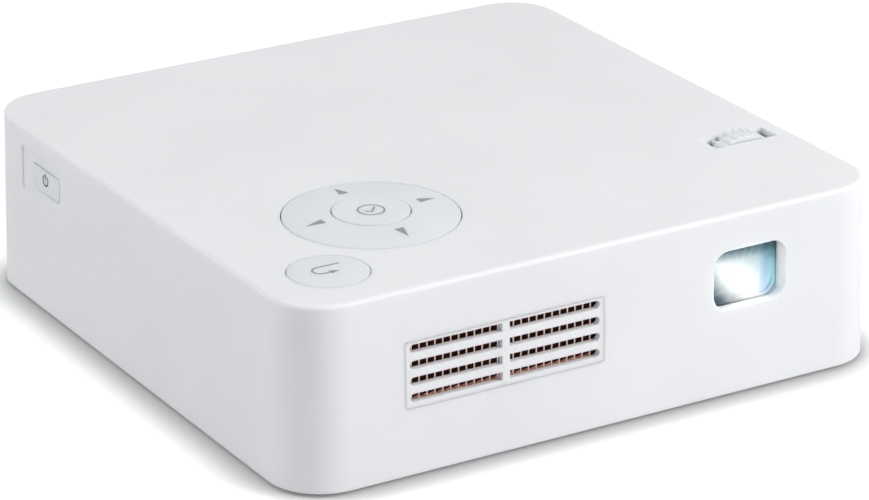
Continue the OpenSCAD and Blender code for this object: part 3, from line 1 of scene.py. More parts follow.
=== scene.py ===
# Palm-size LED projector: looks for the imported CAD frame. Blender 4.5, metres, +Z up, lens facing -Y.
import math
import bmesh
import bpy
from mathutils import Matrix, Vector
from mathutils.geometry import tessellate_polygon


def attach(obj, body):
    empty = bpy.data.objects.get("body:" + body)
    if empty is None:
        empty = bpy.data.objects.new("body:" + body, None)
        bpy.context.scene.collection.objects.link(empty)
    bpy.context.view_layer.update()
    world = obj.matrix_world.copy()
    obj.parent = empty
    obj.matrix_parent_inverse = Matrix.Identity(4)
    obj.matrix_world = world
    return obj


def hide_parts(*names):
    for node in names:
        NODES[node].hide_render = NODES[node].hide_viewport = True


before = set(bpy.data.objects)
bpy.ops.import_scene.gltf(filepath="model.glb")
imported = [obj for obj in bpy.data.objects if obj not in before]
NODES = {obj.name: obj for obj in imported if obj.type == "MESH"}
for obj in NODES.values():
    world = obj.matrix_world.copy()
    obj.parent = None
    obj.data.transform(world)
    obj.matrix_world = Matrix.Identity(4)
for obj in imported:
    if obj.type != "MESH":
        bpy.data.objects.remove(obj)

MM = 0.001
TAU = 2 * math.pi
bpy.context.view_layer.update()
SCENE = bpy.context.scene

# Camera, fitted to the housing's edges in the photograph
CAMERA_TURN = (-30.84, 22.20, -0.075)               # degrees: round from the front, up, and roll
CAMERA_AT = Vector((-435.684, -734.247, 363.958)) * MM
FOCAL_PIXELS, PHOTO_PIXELS = 4029, 869              # focal length and picture width
SENSOR = 36                                         # sensor width, mm

# Places and sizes that the pieces share with the CAD, in metres
RING = Vector((-33.5, -34.0, 42.75)) * MM           # middle of the direction ring, at the height of its rim
RING_EDGE, RING_RISE = 19.45 * MM, 1.0 * MM         # radius and height of the ring's dome
CENTRE_LIFT = 0.1 * MM                              # the centre key stands this much above that dome
RETURN = Vector((-57.1, -57.0, 42.75)) * MM
RETURN_EDGE, RETURN_RISE = 8.8 * MM, 0.4 * MM
LEAN = math.atan(0.95 / 41.9)                       # lean of the four sides
SIDE, FOOT = 75 * MM, 0.8 * MM                      # foot of a side from the middle, and above the floor
POWER_MARK = Vector((-43.4, 32.15)) * MM            # on the left side: along it, and up it
POWER_FACE = -0.05 * MM                             # face of the power key, from the side's plane
LENS = Vector((38.3, -70.9, 27.6)) * MM             # middle of the front lens, on its outer face
WINDOW = Vector((8.6, 1000, 6.8)) * MM              # half width and height of its opening; depth goes unused
# Heat sink, in mm: middle of the first sheet and spacing of the 24, and the extent of the whole
FINS = {"x": -46.095, "pitch": 1.93, "count": 24, "front": -72.32, "back": -56.32,
        "low": 15.3, "high": 31.1, "base": 14.1}
SCREW_AT, SCREW_Z = 66.2 * MM, 1.9 * MM             # case screws: out from the middle both ways, and up
TRIPOD = Vector((0, -17, 0.8)) * MM                 # foot of the tripod insert
# Tips of the tongues in two sockets, on their contact face, and the mouths of the two round sockets
HDMI, USB = Vector((13, 70.6, 23.65)) * MM, Vector((-14, 73.6, 23.1)) * MM
AUDIO, INLET = Vector((-37, 73.83, 23)) * MM, Vector((-54, 73.83, 25.85)) * MM

# Printed ink reaches this far into a key, and stands this far out of it
INK_DEPTH, INK_RISE = 0.04 * MM, 0.02 * MM

# Most values of a noise texture lie between these
NOISE_RANGE = {"From Min": 0.3, "From Max": 0.7}

# The lamp's light in the lens opening. Places are shares of WINDOW, across and up, from the lens's middle
LAMP_MIDDLE = Vector((-0.1, -0.2, 0))
# Colours of the lamp's light from the left edge of the opening, 0, to the right edge, 1: white, then painted
# violet and cyan reflections in bands near the right edge
LAMP_BANDS = ((0.10, "#E2F6FA"), (0.2, "#FFFFFF"), (0.79, "#F6FDFF"), (0.83, "#DDEEFC"), (0.86, "#D0E2FC"),
              (0.92, "#C4D8F8"), (0.955, "#C0E4FA"), (0.98, "#B2F2FC"), (1.0, "#B8E8F6"))
# Shades over them: colour, the way it grows across and up, and where along that way it starts and is full
LAMP_SHADES = (("#6C9BA2", (0.6, 1, 0), -0.35, 1.15),       # pale teal, towards the upper right
               ("#1C3A40", (0.6, 1, 0), 0.62, 1.5),         # dark teal in that corner
               ("#3C5A62", (0, 1, 0), 0.36, 0.72),          # grey teal along the top
               ("#5A6C72", (-1, -0.75, 0), 0.50, 1.27),     # grey, towards the lower left
               ("#101416", (-1, -0.75, 0), 1.3, 1.7))       # nearly black in that corner

# Soft lamps of the studio: name, place, width in metres and power in watts, aimed at the object's middle
SOFTBOXES = (("top_softbox", (-0.36, 0.0, 1.2), 1.0, 3.85),
             ("front_softbox", (0.52, -0.6, 0.5), 0.38, 4.5),
             ("left_softbox", (-0.65, 0.5, 0.30), 0.5, 1.45))
AIM = Vector((0, 0, 0.03))


# ---- camera ----

def make_camera():
    az, el, roll = (math.radians(a) for a in CAMERA_TURN)
    back = Vector((math.sin(az) * math.cos(el), -math.cos(az) * math.cos(el), math.sin(el)))
    right = (-back).cross(Vector((0, 0, 1))).normalized()
    up = right.cross(-back)
    x_axis = right * math.cos(roll) + up * math.sin(roll)
    y_axis = up * math.cos(roll) - right * math.sin(roll)
    data = bpy.data.cameras.new("camera")
    data.sensor_width = SENSOR
    data.lens = SENSOR * FOCAL_PIXELS / PHOTO_PIXELS
    data.clip_start, data.clip_end = 0.01, 50
    cam = bpy.data.objects.new("camera", data)
    SCENE.collection.objects.link(cam)
    turn = Matrix((x_axis, y_axis, back)).transposed().to_4x4()
    cam.matrix_world = Matrix.Translation(CAMERA_AT) @ turn
    SCENE.camera = cam


make_camera()


# ---- materials ----

def linear(code):
    """sRGB hex to linear RGBA."""
    parts = [int(code[i:i + 2], 16) / 255 for i in (1, 3, 5)]
    return [c / 12.92 if c <= 0.04045 else ((c + 0.055) / 1.055) ** 2.4 for c in parts] + [1.0]


def per(size_mm):
    """Texture scale for features of this size in millimetres."""
    return 1 / (size_mm * MM)


def wire(tree, node, inputs):
    """Links each input that is given a socket, and sets the others."""
    for key, value in inputs.items():
        if isinstance(value, bpy.types.NodeSocket):
            tree.links.new(value, node.inputs[key])
        else:
            node.inputs[key].default_value = value


def add(tree, kind, inputs=None, **props):
    """Adds a node with its settings and links."""
    node = tree.nodes.new(kind)
    for key, value in props.items():
        setattr(node, key, value)
    wire(tree, node, inputs or {})
    return node


def surface(name, dark, light, rough, metallic=0.0, cloud_mm=12, cloud_run=(1, 1, 1), spread=0.4,
            grain_mm=0.35, grain_run=(1, 1, 1), depth_mm=0.006, edge_mm=0.1, **sockets):
    """A finish of two tones in soft clouds, with a fine relief, uneven gloss and softened edges.

    The runs squeeze the clouds and the grain along x, y and z, or stretch them where they are below 1. A
    small spread parts the tones sharply.
    """
    uneven = 0.06                                   # how far the roughness strays to either side
    mat = bpy.data.materials.new(name)
    mat.use_nodes = True
    mat.diffuse_color = linear(light)
    tree = mat.node_tree
    where = add(tree, "ShaderNodeTexCoord").outputs["Object"]
    run = add(tree, "ShaderNodeMapping", {"Vector": where, "Scale": cloud_run}).outputs[0]
    cloud = add(tree, "ShaderNodeTexNoise", {"Vector": run, "Scale": per(cloud_mm), "Detail": 3.0})
    share = add(tree, "ShaderNodeMapRange", {
        "Value": cloud.outputs["Fac"], "From Min": 0.5 - spread / 2, "From Max": 0.5 + spread / 2})
    tone = add(tree, "ShaderNodeMix", {0: share.outputs[0], 6: linear(dark), 7: linear(light)},
               data_type="RGBA")
    run = add(tree, "ShaderNodeMapping", {"Vector": where, "Scale": grain_run}).outputs[0]
    grain = add(tree, "ShaderNodeTexNoise", {
        "Vector": run, "Scale": per(grain_mm), "Detail": 3.0, "Roughness": 0.6}).outputs["Fac"]
    gloss = add(tree, "ShaderNodeMapRange", {
        "Value": grain, **NOISE_RANGE, "To Min": max(rough - uneven, 0.01), "To Max": rough + uneven})
    soft = add(tree, "ShaderNodeBevel", {"Radius": edge_mm * MM}, samples=6)
    relief = add(tree, "ShaderNodeBump", {
        "Height": grain, "Distance": depth_mm * MM, "Strength": 1.0, "Normal": soft.outputs[0]})
    wire(tree, tree.nodes["Principled BSDF"], {
        "Base Color": tone.outputs[2], "Roughness": gloss.outputs[0], "Metallic": metallic,
        "Normal": relief.outputs[0], **sockets})
    return mat


# Light bleeds about a millimetre into white ABS, which softens its edges and lifts its narrow gaps
BLEED = {"Subsurface Weight": 0.7, "Subsurface Radius": (1.0, 0.96, 0.92), "Subsurface Scale": 1.5 * MM}

# White ABS, injection moulded in a spark-eroded tool: matt, evenly white, with faint flow clouds
SHELL = surface("white_abs", "#E9EAEC", "#EDEEF0", 0.46, cloud_mm=38, edge_mm=0.12, **BLEED)
# White ABS of the keys, from a smoother tool: a little cooler and glossier than the housing
KEY = surface("key_abs", "#E2E6EA", "#E6EAEE", 0.36, cloud_mm=20, grain_mm=0.3, depth_mm=0.003, **BLEED)
# Black nylon, moulded: near black with a dull sheen, for the barrel, bezel and sockets
BLACK = surface("black_nylon", "#0E0F11", "#16181B", 0.42, edge_mm=0.08)
# Glass-filled nylon, moulded: dark grey with a slightly rough, cloudy skin
DARK = surface("filled_nylon", "#1B1C1F", "#26282C", 0.52, cloud_mm=5, grain_mm=0.4, depth_mm=0.01)
# Pad-printed ink: mid grey, thin and flat
INK = surface("grey_ink", "#8E9399", "#9DA2A8", 0.55, cloud_mm=0.8, grain_mm=0.1, depth_mm=0.002,
              edge_mm=0.02)
# Pad-printed ink of the power mark, laid on thicker: dark grey
DARK_INK = surface("dark_ink", "#3A3D40", "#45484C", 0.5, cloud_mm=0.8, grain_mm=0.1, depth_mm=0.002,
                   edge_mm=0.02)
# Silicone rubber, moulded: dull dark grey that picks up dust in patches
RUBBER = surface("silicone_rubber", "#4C4D51", "#5E5F63", 0.75, cloud_mm=4, grain_mm=0.25, depth_mm=0.02,
                 edge_mm=0.15)
# Zinc-plated steel, drawn: bright grey with a lengthwise grain
STEEL = surface("zinc_plated_steel", "#A9ACB1", "#C9CCD1", 0.3, 1.0, cloud_mm=6, grain_mm=0.5,
                grain_run=(1, 1, 0.12), depth_mm=0.004, edge_mm=0.08)
# Brass, turned: warm yellow with fine rings from the tool
BRASS = surface("turned_brass", "#9E7A3C", "#C79C55", 0.26, 1.0, cloud_mm=6, grain_mm=0.2,
                grain_run=(0.1, 0.1, 1), depth_mm=0.004, edge_mm=0.08)
# Gold flash over nickel on the socket contacts: bright yellow and smooth
GOLD = surface("gold_flash", "#C9A24A", "#E2C06A", 0.2, 1.0, cloud_mm=2, grain_mm=0.2, depth_mm=0.001,
               edge_mm=0.02)
# Copper sheet, rolled: dark rose brown, tarnished in patches, with lines along the rolling. The faint glow
# stands for the light that many bounces between the fins would carry in
COPPER = surface("rolled_copper", "#8C4433", "#C4745A", 0.34, 1.0, cloud_mm=3, grain_mm=0.4,
                 grain_run=(1, 0.1, 1), depth_mm=0.004, edge_mm=0.05,
                 **{"Emission Color": linear("#906050"), "Emission Strength": 0.03})
# Fin edges: dull pinkish white with a glow, painted light that stands for the light their front edges catch
# in the slots
EDGE_PAINTED_LIGHT = surface("fin_edge_painted_light", "#F0E0DA", "#FAF2EF", 0.5, 0.1, cloud_mm=1.2, grain_mm=0.3, depth_mm=0.01,
                 edge_mm=0.03, **{"Emission Color": linear("#FFEDE6"), "Emission Strength": 0.3})
# Copper of the locking tabs: light salmon pink with a faint glow, painted light that stands for the light
# the tabs catch in the vent's lowest row
TAB_PAINTED_LIGHT = surface("copper_tab_painted_light", "#A8705E", "#DDB4A4", 0.45, 0.3, cloud_mm=0.7, spread=0.2, grain_mm=0.3,
                  depth_mm=0.01, edge_mm=0.03,
                  **{"Emission Color": linear("#E08A6A"), "Emission Strength": 0.1})
# Zinc alloy, die-cast: mid grey with an orange-peel skin
ALLOY = surface("die_cast_alloy", "#94979B", "#B2B5B9", 0.48, 1.0, cloud_mm=6, grain_mm=0.9, depth_mm=0.02,
                edge_mm=0.15)
# Glass-fibre board under green solder resist: glossy green, lighter where copper lies under it
BOARD = surface("solder_resist_board", "#0C3F26", "#1B6A41", 0.32, cloud_mm=2.4, cloud_run=(1, 4, 1),
                spread=0.1, grain_mm=1.2, grain_run=(1, 4, 1), depth_mm=0.02, edge_mm=0.05,
                **{"Coat Weight": 0.5, "Coat Roughness": 0.15})
# Optical glass, polished and coated: clear, with a violet reflection
GLASS = surface("coated_glass", "#D6E8F0", "#DCEBF2", 0.03, cloud_mm=8, grain_mm=5, depth_mm=0.0,
                edge_mm=0.05, **{"IOR": 1.52, "Transmission Weight": 1.0, "Coat Weight": 0.6,
                                 "Coat Roughness": 0.02, "Coat Tint": linear("#B9A6F0")})
# Dichroic coating on glass: splits into violet and cyan patches
DICHROIC = surface("dichroic_coating", "#A88FE0", "#8FD0E6", 0.05, 0.3, cloud_mm=6, depth_mm=0.0,
                   edge_mm=0.05, **{"IOR": 1.52, "Transmission Weight": 0.7})
# Shrink film round the battery: glossy blue with long creases
FILM = surface("shrink_film", "#24446E", "#325A8C", 0.28, cloud_mm=14, grain_mm=5, grain_run=(0.3, 1, 1),
               depth_mm=0.12, **{"Coat Weight": 0.4, "Coat Roughness": 0.1})


def lamp_light(tree):
    """The lamp's light across the opening, and how far each spot lies from its middle."""
    where = add(tree, "ShaderNodeTexCoord").outputs["Object"]
    from_lens = add(tree, "ShaderNodeVectorMath", {0: where, 1: LENS}, operation="SUBTRACT").outputs[0]
    share = add(tree, "ShaderNodeVectorMath", {0: from_lens, 1: WINDOW}, operation="DIVIDE").outputs[0]
    apart = add(tree, "ShaderNodeSeparateXYZ", {0: share}).outputs
    flat = add(tree, "ShaderNodeCombineXYZ", {0: apart[0], 1: apart[2]}).outputs[0]
    out = add(tree, "ShaderNodeVectorMath", {0: flat, 1: LAMP_MIDDLE}, operation="SUBTRACT").outputs[0]
    # Rays of flare: one noise for each direction from the middle draws the shades in and out a little
    way = add(tree, "ShaderNodeVectorMath", {0: out}, operation="NORMALIZE").outputs[0]
    rays = add(tree, "ShaderNodeTexNoise", {"Vector": way, "Scale": 6.0, "Detail": 3.0}).outputs["Fac"]
    pull = add(tree, "ShaderNodeMapRange", {
        "Value": rays, **NOISE_RANGE, "To Min": 0.95, "To Max": 1.06}).outputs[0]
    drawn = add(tree, "ShaderNodeVectorMath", {0: out, "Scale": pull}, operation="SCALE").outputs[0]
    spot = add(tree, "ShaderNodeVectorMath", {0: drawn, 1: LAMP_MIDDLE}, operation="ADD").outputs[0]

    across = add(tree, "ShaderNodeMapRange", {"Value": apart[0], "From Min": -1, "From Max": 1}).outputs[0]
    bands = add(tree, "ShaderNodeValToRGB", {"Fac": across})
    stops = bands.color_ramp.elements
    for stop, (place, code) in zip(stops, (LAMP_BANDS[0], LAMP_BANDS[-1])):
        stop.position, stop.color = place, linear(code)
    for place, code in LAMP_BANDS[1:-1]:
        stops.new(place).color = linear(code)
    light = bands.outputs[0]

    for code, way, start, full in LAMP_SHADES:
        measure = add(tree, "ShaderNodeVectorMath", {0: spot, 1: way}, operation="DOT_PRODUCT")
        amount = add(tree, "ShaderNodeMapRange", {
            "Value": measure.outputs["Value"], "From Min": start, "From Max": full})
        light = add(tree, "ShaderNodeMix", {0: amount.outputs[0], 6: light, 7: linear(code)},
                    data_type="RGBA").outputs[2]
    return light, add(tree, "ShaderNodeVectorMath", {0: out}, operation="LENGTH").outputs["Value"]


def lit_front_glass():
    """The front lens with the lamp on. Its glare falls off with the square of the distance."""
    mat = surface("lit_front_glass", "#0C2026", "#13303A", 0.05, cloud_mm=6, grain_mm=4, depth_mm=0.0,
                  edge_mm=0.05, **{"IOR": 1.52, "Coat Weight": 0.5, "Coat Roughness": 0.02})
    tree = mat.node_tree
    light, out = lamp_light(tree)
    # Strength is 1 + glare / (out * out + core)
    glare, core = 0.05, 0.003
    square = add(tree, "ShaderNodeMath", {0: out, 1: out, 2: core}, operation="MULTIPLY_ADD").outputs[0]
    extra = add(tree, "ShaderNodeMath", {0: glare, 1: square}, operation="DIVIDE").outputs[0]
    strength = add(tree, "ShaderNodeMath", {0: extra, 1: 1.0}, operation="ADD").outputs[0]
    wire(tree, tree.nodes["Principled BSDF"], {"Emission Color": light, "Emission Strength": strength})
    return mat


def lit_nylon():
    """Black nylon round the front lens, with the lamp's light painted on as a glow: more on its inner walls,
    less on its face.
    """
    wall_light, face_light = 0.9, 0.5
    lit_depth, dark_depth = 2 * MM, 3 * MM          # behind the lens's front the light fades between these
    mat = surface("lit_black_nylon", "#0E0F11", "#16181B", 0.42, edge_mm=0.08)
    tree = mat.node_tree
    light, _ = lamp_light(tree)
    facing = add(tree, "ShaderNodeNewGeometry").outputs["Normal"]
    front = add(tree, "ShaderNodeVectorMath", {0: facing, 1: (0, -1, 0)}, operation="DOT_PRODUCT")
    wall = add(tree, "ShaderNodeMapRange", {
        "Value": front.outputs["Value"], "From Min": 0.2, "From Max": 0.7,
        "To Min": wall_light, "To Max": face_light}).outputs[0]
    where = add(tree, "ShaderNodeTexCoord").outputs["Object"]
    apart = add(tree, "ShaderNodeSeparateXYZ", {0: where}).outputs
    near = add(tree, "ShaderNodeMapRange", {
        "Value": apart[1], "From Min": LENS.y + lit_depth, "From Max": LENS.y + dark_depth,
        "To Min": 1.0, "To Max": 0.0}).outputs[0]
    strength = add(tree, "ShaderNodeMath", {0: wall, 1: near}, operation="MULTIPLY").outputs[0]
    wire(tree, tree.nodes["Principled BSDF"], {"Emission Color": light, "Emission Strength": strength})
    return mat


LIT, LIT_BLACK = lit_front_glass(), lit_nylon()


# ---- mesh helpers ----

def new_object(name, mesh, mat):
    """Object at the origin, in this material unless its mesh brings one."""
    obj = bpy.data.objects.new(name, mesh)
    SCENE.collection.objects.link(obj)
    if not mesh.materials:
        mesh.materials.append(mat)
    return obj


def closed_mesh(name, parts, place=Matrix(), smooth=False):
    """Mesh of one or more closed (verts, faces), put in place, faces outwards."""
    mesh = bpy.data.meshes.new(name)
    shape = bmesh.new()
    for verts, faces in parts:
        made = [shape.verts.new(place @ Vector(v)) for v in verts]
        for face in faces:
            shape.faces.new([made[i] for i in face]).smooth = smooth
    bmesh.ops.recalc_face_normals(shape, faces=shape.faces)
    shape.to_mesh(mesh)
    shape.free()
    return mesh


def prism(outline, low, high):
    """Solid over an outline. low and high give z for (x, y)."""
    n = len(outline)
    verts = [(x, y, low(x, y)) for x, y in outline] + [(x, y, high(x, y)) for x, y in outline]
    faces = [list(range(n - 1, -1, -1)), list(range(n, 2 * n))]
    faces += [[i, (i + 1) % n, (i + 1) % n + n, i + n] for i in range(n)]
    return verts, faces


def stroke(path, widths, low, high):
    """Closed ribbon along a path of (x, y). widths is one width, or one for each point."""
    if not isinstance(widths, (list, tuple)):
        widths = [widths] * len(path)
    verts, faces = [], []
    for i, p in enumerate(path):
        a, b = Vector(path[max(i - 1, 0)]), Vector(path[min(i + 1, len(path) - 1)])
        d = (b - a).normalized()
        off = Vector((-d.y, d.x)) * (widths[i] / 2)
        for q in (Vector(p) + off, Vector(p) - off):
            verts += [(q.x, q.y, low(q.x, q.y)), (q.x, q.y, high(q.x, q.y))]
    # Each station has left low 0, left high 1, right low 2 and right high 3
    last = 4 * (len(path) - 1)
    for a in range(0, last, 4):
        b = a + 4
        faces += [[a + 3, b + 3, b + 1, a + 1], [a, b, b + 2, a + 2],
                  [a + 1, b + 1, b, a], [a + 2, b + 2, b + 3, a + 3]]
    faces += [[0, 2, 3, 1], [last + 1, last + 3, last + 2, last]]
    return verts, faces


def hoop(x, y, r, width, low, high, steps=48):
    """Closed flat ring."""
    verts, faces = [], []
    for k in range(steps):
        c, s = math.cos(k * TAU / steps), math.sin(k * TAU / steps)
        for edge in (r - width / 2, r + width / 2):
            px, py = x + edge * c, y + edge * s
            verts += [(px, py, low(px, py)), (px, py, high(px, py))]
    for k in range(steps):
        a, b = 4 * k, 4 * ((k + 1) % steps)
        for i, j in ((1, 3), (3, 2), (2, 0), (0, 1)):
            faces.append([a + i, a + j, b + j, b + i])
    return verts, faces


def lathe(profile, steps=32, open_start=False):
    """Solid turned about z from (radius, z) points, with a flat face at each end."""
    verts = [(r * math.cos(k * TAU / steps), r * math.sin(k * TAU / steps), z)
             for r, z in profile for k in range(steps)]
    faces = [[i * steps + k, i * steps + (k + 1) % steps,
              (i + 1) * steps + (k + 1) % steps, (i + 1) * steps + k]
             for i in range(len(profile) - 1) for k in range(steps)]
    if not open_start:
        faces.append(list(range(steps)))
    faces.append([(len(profile) - 1) * steps + k for k in range(steps)])
    return verts, faces


def lathe_ring(profile, steps=32):
    """Ring turned about z from a closed outline of (radius, z) points."""
    n = len(profile)
    verts = [(r * math.cos(k * TAU / steps), r * math.sin(k * TAU / steps), z)
             for k in range(steps) for r, z in profile]
    faces = [[k * n + i, k * n + (i + 1) % n, (k + 1) % steps * n + (i + 1) % n, (k + 1) % steps * n + i]
             for k in range(steps) for i in range(n)]
    return verts, faces


def arc(cx, cy, r, a0, a1, steps):
    """Points of an arc round (cx, cy), from a0 to a1 degrees."""
    turns = [math.radians(a0 + (a1 - a0) * i / steps) for i in range(steps + 1)]
    return [(cx + r * math.cos(a), cy + r * math.sin(a)) for a in turns]


def finish_piece(obj, body, slot, *stands_for):
    """Says which body the piece rides on, and hides the CAD nodes it stands for. The slot is not used."""
    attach(obj, body)
    if stands_for:
        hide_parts(*stands_for)


# Turns z to the front (-y) and to the back (+y)
TO_FRONT = Matrix.Rotation(TAU / 4, 4, "X")
TO_BACK = Matrix.Rotation(-TAU / 4, 4, "X")


# ---- geometry nodes: a row or a ring of copies ----

def copies_tree():
    """Copies of the input at Start + i * Step, each turned by i * Turn."""
    tree = bpy.data.node_groups.new("row_of_copies", "GeometryNodeTree")
    face = tree.interface
    face.new_socket("Geometry", in_out="INPUT", socket_type="NodeSocketGeometry")
    for label, kind in (("Count", "NodeSocketInt"), ("Start", "NodeSocketVector"),
                        ("Step", "NodeSocketVector"), ("Turn", "NodeSocketVector"),
                        ("Material", "NodeSocketMaterial")):
        face.new_socket(label, in_out="INPUT", socket_type=kind)
    face.new_socket("Geometry", in_out="OUTPUT", socket_type="NodeSocketGeometry")
    given = add(tree, "NodeGroupInput").outputs
    index = add(tree, "GeometryNodeInputIndex").outputs[0]
    points = add(tree, "GeometryNodePoints", {"Count": given["Count"], "Position": given["Start"]})
    way = add(tree, "ShaderNodeVectorMath", {0: given["Step"], "Scale": index}, operation="SCALE")
    moved = add(tree, "GeometryNodeSetPosition", {"Geometry": points.outputs[0], "Offset": way.outputs[0]})
    turn = add(tree, "ShaderNodeVectorMath", {0: given["Turn"], "Scale": index}, operation="SCALE")
    placed = add(tree, "GeometryNodeInstanceOnPoints", {
        "Points": moved.outputs[0], "Instance": given["Geometry"], "Rotation": turn.outputs[0]})
    solid = add(tree, "GeometryNodeRealizeInstances", {"Geometry": placed.outputs[0]})
    dressed = add(tree, "GeometryNodeSetMaterial", {
        "Geometry": solid.outputs[0], "Material": given["Material"]})
    add(tree, "NodeGroupOutput", {0: dressed.outputs[0]})
    return tree


COPIES = copies_tree()


def copies(name, source, mat, count, start=(0, 0, 0), step=(0, 0, 0), turn=(0, 0, 0)):
    """Plain mesh object made of copies of the source mesh."""
    temp = bpy.data.objects.new(name + "_source", source)
    SCENE.collection.objects.link(temp)
    mod = temp.modifiers.new("copies", "NODES")
    mod.node_group = COPIES
    values = {"Count": count, "Start": start, "Step": step, "Turn": turn, "Material": mat}
    for item in COPIES.interface.items_tree:
        if item.in_out == "INPUT" and item.name in values:
            mod[item.identifier] = values[item.name]
    temp.update_tag()
    graph = bpy.context.evaluated_depsgraph_get()
    graph.update()
    mesh = bpy.data.meshes.new_from_object(temp.evaluated_get(graph), depsgraph=graph)
    mesh.name = name
    temp.modifiers.remove(mod)
    bpy.data.objects.remove(temp)
    return new_object(name, mesh, mat)


# ---- CAD nodes and their materials ----

DRESS = (
    (SHELL, "top_cover base_cover rear_panel vent_grille"),
    (KEY, "direction_ring centre_key return_key power_key focus_wheel"),
    (RUBBER, "rubber_feet"),
    (STEEL, "case_screws blower_motor key_board_screws focus_axles board_screws hdmi_socket usb_socket"),
    (BRASS, "tripod_insert"),
    (COPPER, "heat_sink heat_pipe led_heat_plate"),
    (DARK, "blower_housing blower_impeller rocker_frame rocker_bracket focus_idler focus_ring"),
    (BLACK, "speaker audio_socket power_inlet"),
    (LIT_BLACK, "lens_barrel lens_bezel"),
    (ALLOY, "focus_bracket lens_carrier engine_housing engine_lid"),
    (BOARD, "key_board power_switch_board imager_board red_led green_led blue_led main_board"),
    (LIT, "front_lens"),
    (GLASS, "focus_lenses collimator_lenses"),
    (DICHROIC, "dichroic_plates"),
    (FILM, "battery_pack"),
)
for look, names in DRESS:
    for n in names.split():
        NODES[n].data.materials.clear()
        NODES[n].data.materials.append(look)


# ---- marks on the keys: a thin film of ink that follows the dome of the key ----

def film(x, y, z, edge, rise):
    """Lower and upper face of the ink on a dome round (x, y), whose rim is at z."""
    def top(px, py):
        return z + rise * (1 - (math.hypot(px - x, py - y) / edge) ** 4)
    return (lambda px, py: top(px, py) - INK_DEPTH), (lambda px, py: top(px, py) + INK_RISE)


def make_marks():
    # Arrows of the direction ring, pointing outwards: (radius, width) along one, which is copied round
    stations = [(11.78, 1.6), (11.86, 2.05), (12.0, 2.25), (12.6, 1.9), (13.2, 1.56), (13.8, 1.22),
                (14.4, 0.88), (15.0, 0.56), (15.6, 0.28), (15.9, 0.12)]
    low, high = film(0, 0, 0, RING_EDGE, RING_RISE)
    arrow = stroke([(r * MM, 0) for r, _ in stations], [w * MM for _, w in stations], low, high)
    marks = copies("direction_marks", closed_mesh("arrow", [arrow]), INK, 4, start=RING,
                   turn=(0, 0, TAU / 4))
    finish_piece(marks, "direction_ring", "key_plastic")

    # Tick in a ring on the centre key, for confirming
    low, high = film(RING.x, RING.y, RING.z + CENTRE_LIFT, RING_EDGE, RING_RISE)
    ring = hoop(RING.x, RING.y, r=2.9 * MM, width=0.42 * MM, low=low, high=high)
    tick = [(RING.x + x * MM, RING.y + y * MM) for x, y in ((-1.45, 0.1), (-0.4, -1.05), (1.5, 1.15))]
    mesh = closed_mesh("confirm_mark", [ring, stroke(tick, 0.5 * MM, low, high)])
    finish_piece(new_object("confirm_mark", mesh, INK), "centre_key", "key_plastic")

    # Arrow that turns back, on the return key
    low, high = film(RETURN.x, RETURN.y, RETURN.z, RETURN_EDGE, RETURN_RISE)
    hook = [(-53.4, -55.0), (-56.2, -55.0)] + arc(-58.85, -56.75, 1.75, 90, 270, 16) + [(-57.4, -58.5)]
    tip = [(-57.5, -57.7), (-57.5, -59.3), (-55.2, -58.5)]
    mesh = closed_mesh("return_mark", [
        stroke([(x * MM, y * MM) for x, y in hook], 0.45 * MM, low, high),
        prism([(x * MM, y * MM) for x, y in tip], low, high)])
    finish_piece(new_object("return_mark", mesh, INK), "return_key", "key_plastic")

    # Power symbol on the power key. On the left side x runs along it, y up it and z outwards
    left_side = (Matrix.Rotation(-TAU / 4, 4, "Z") @ Matrix.Translation((0, -SIDE, FOOT))
                 @ Matrix.Rotation(TAU / 4 - LEAN, 4, "X"))
    low, high = (lambda px, py: POWER_FACE - INK_DEPTH), (lambda px, py: POWER_FACE + INK_RISE)
    x, y = POWER_MARK
    radius, gap, line = 1.25 * MM, 36, 0.38 * MM    # the gap, in degrees, lies to either side of the top
    mesh = closed_mesh("power_mark", [
        stroke(arc(x, y, radius, 90 + gap, 450 - gap, 30), line, low, high),
        stroke([(x, y + 0.15 * MM), (x, y + 1.7 * MM)], line, low, high)], left_side)
    finish_piece(new_object("power_mark", mesh, DARK_INK), "power_key", "key_plastic")


make_marks()


# ---- heat sink: folded sheets on a base, which show in the vent ----

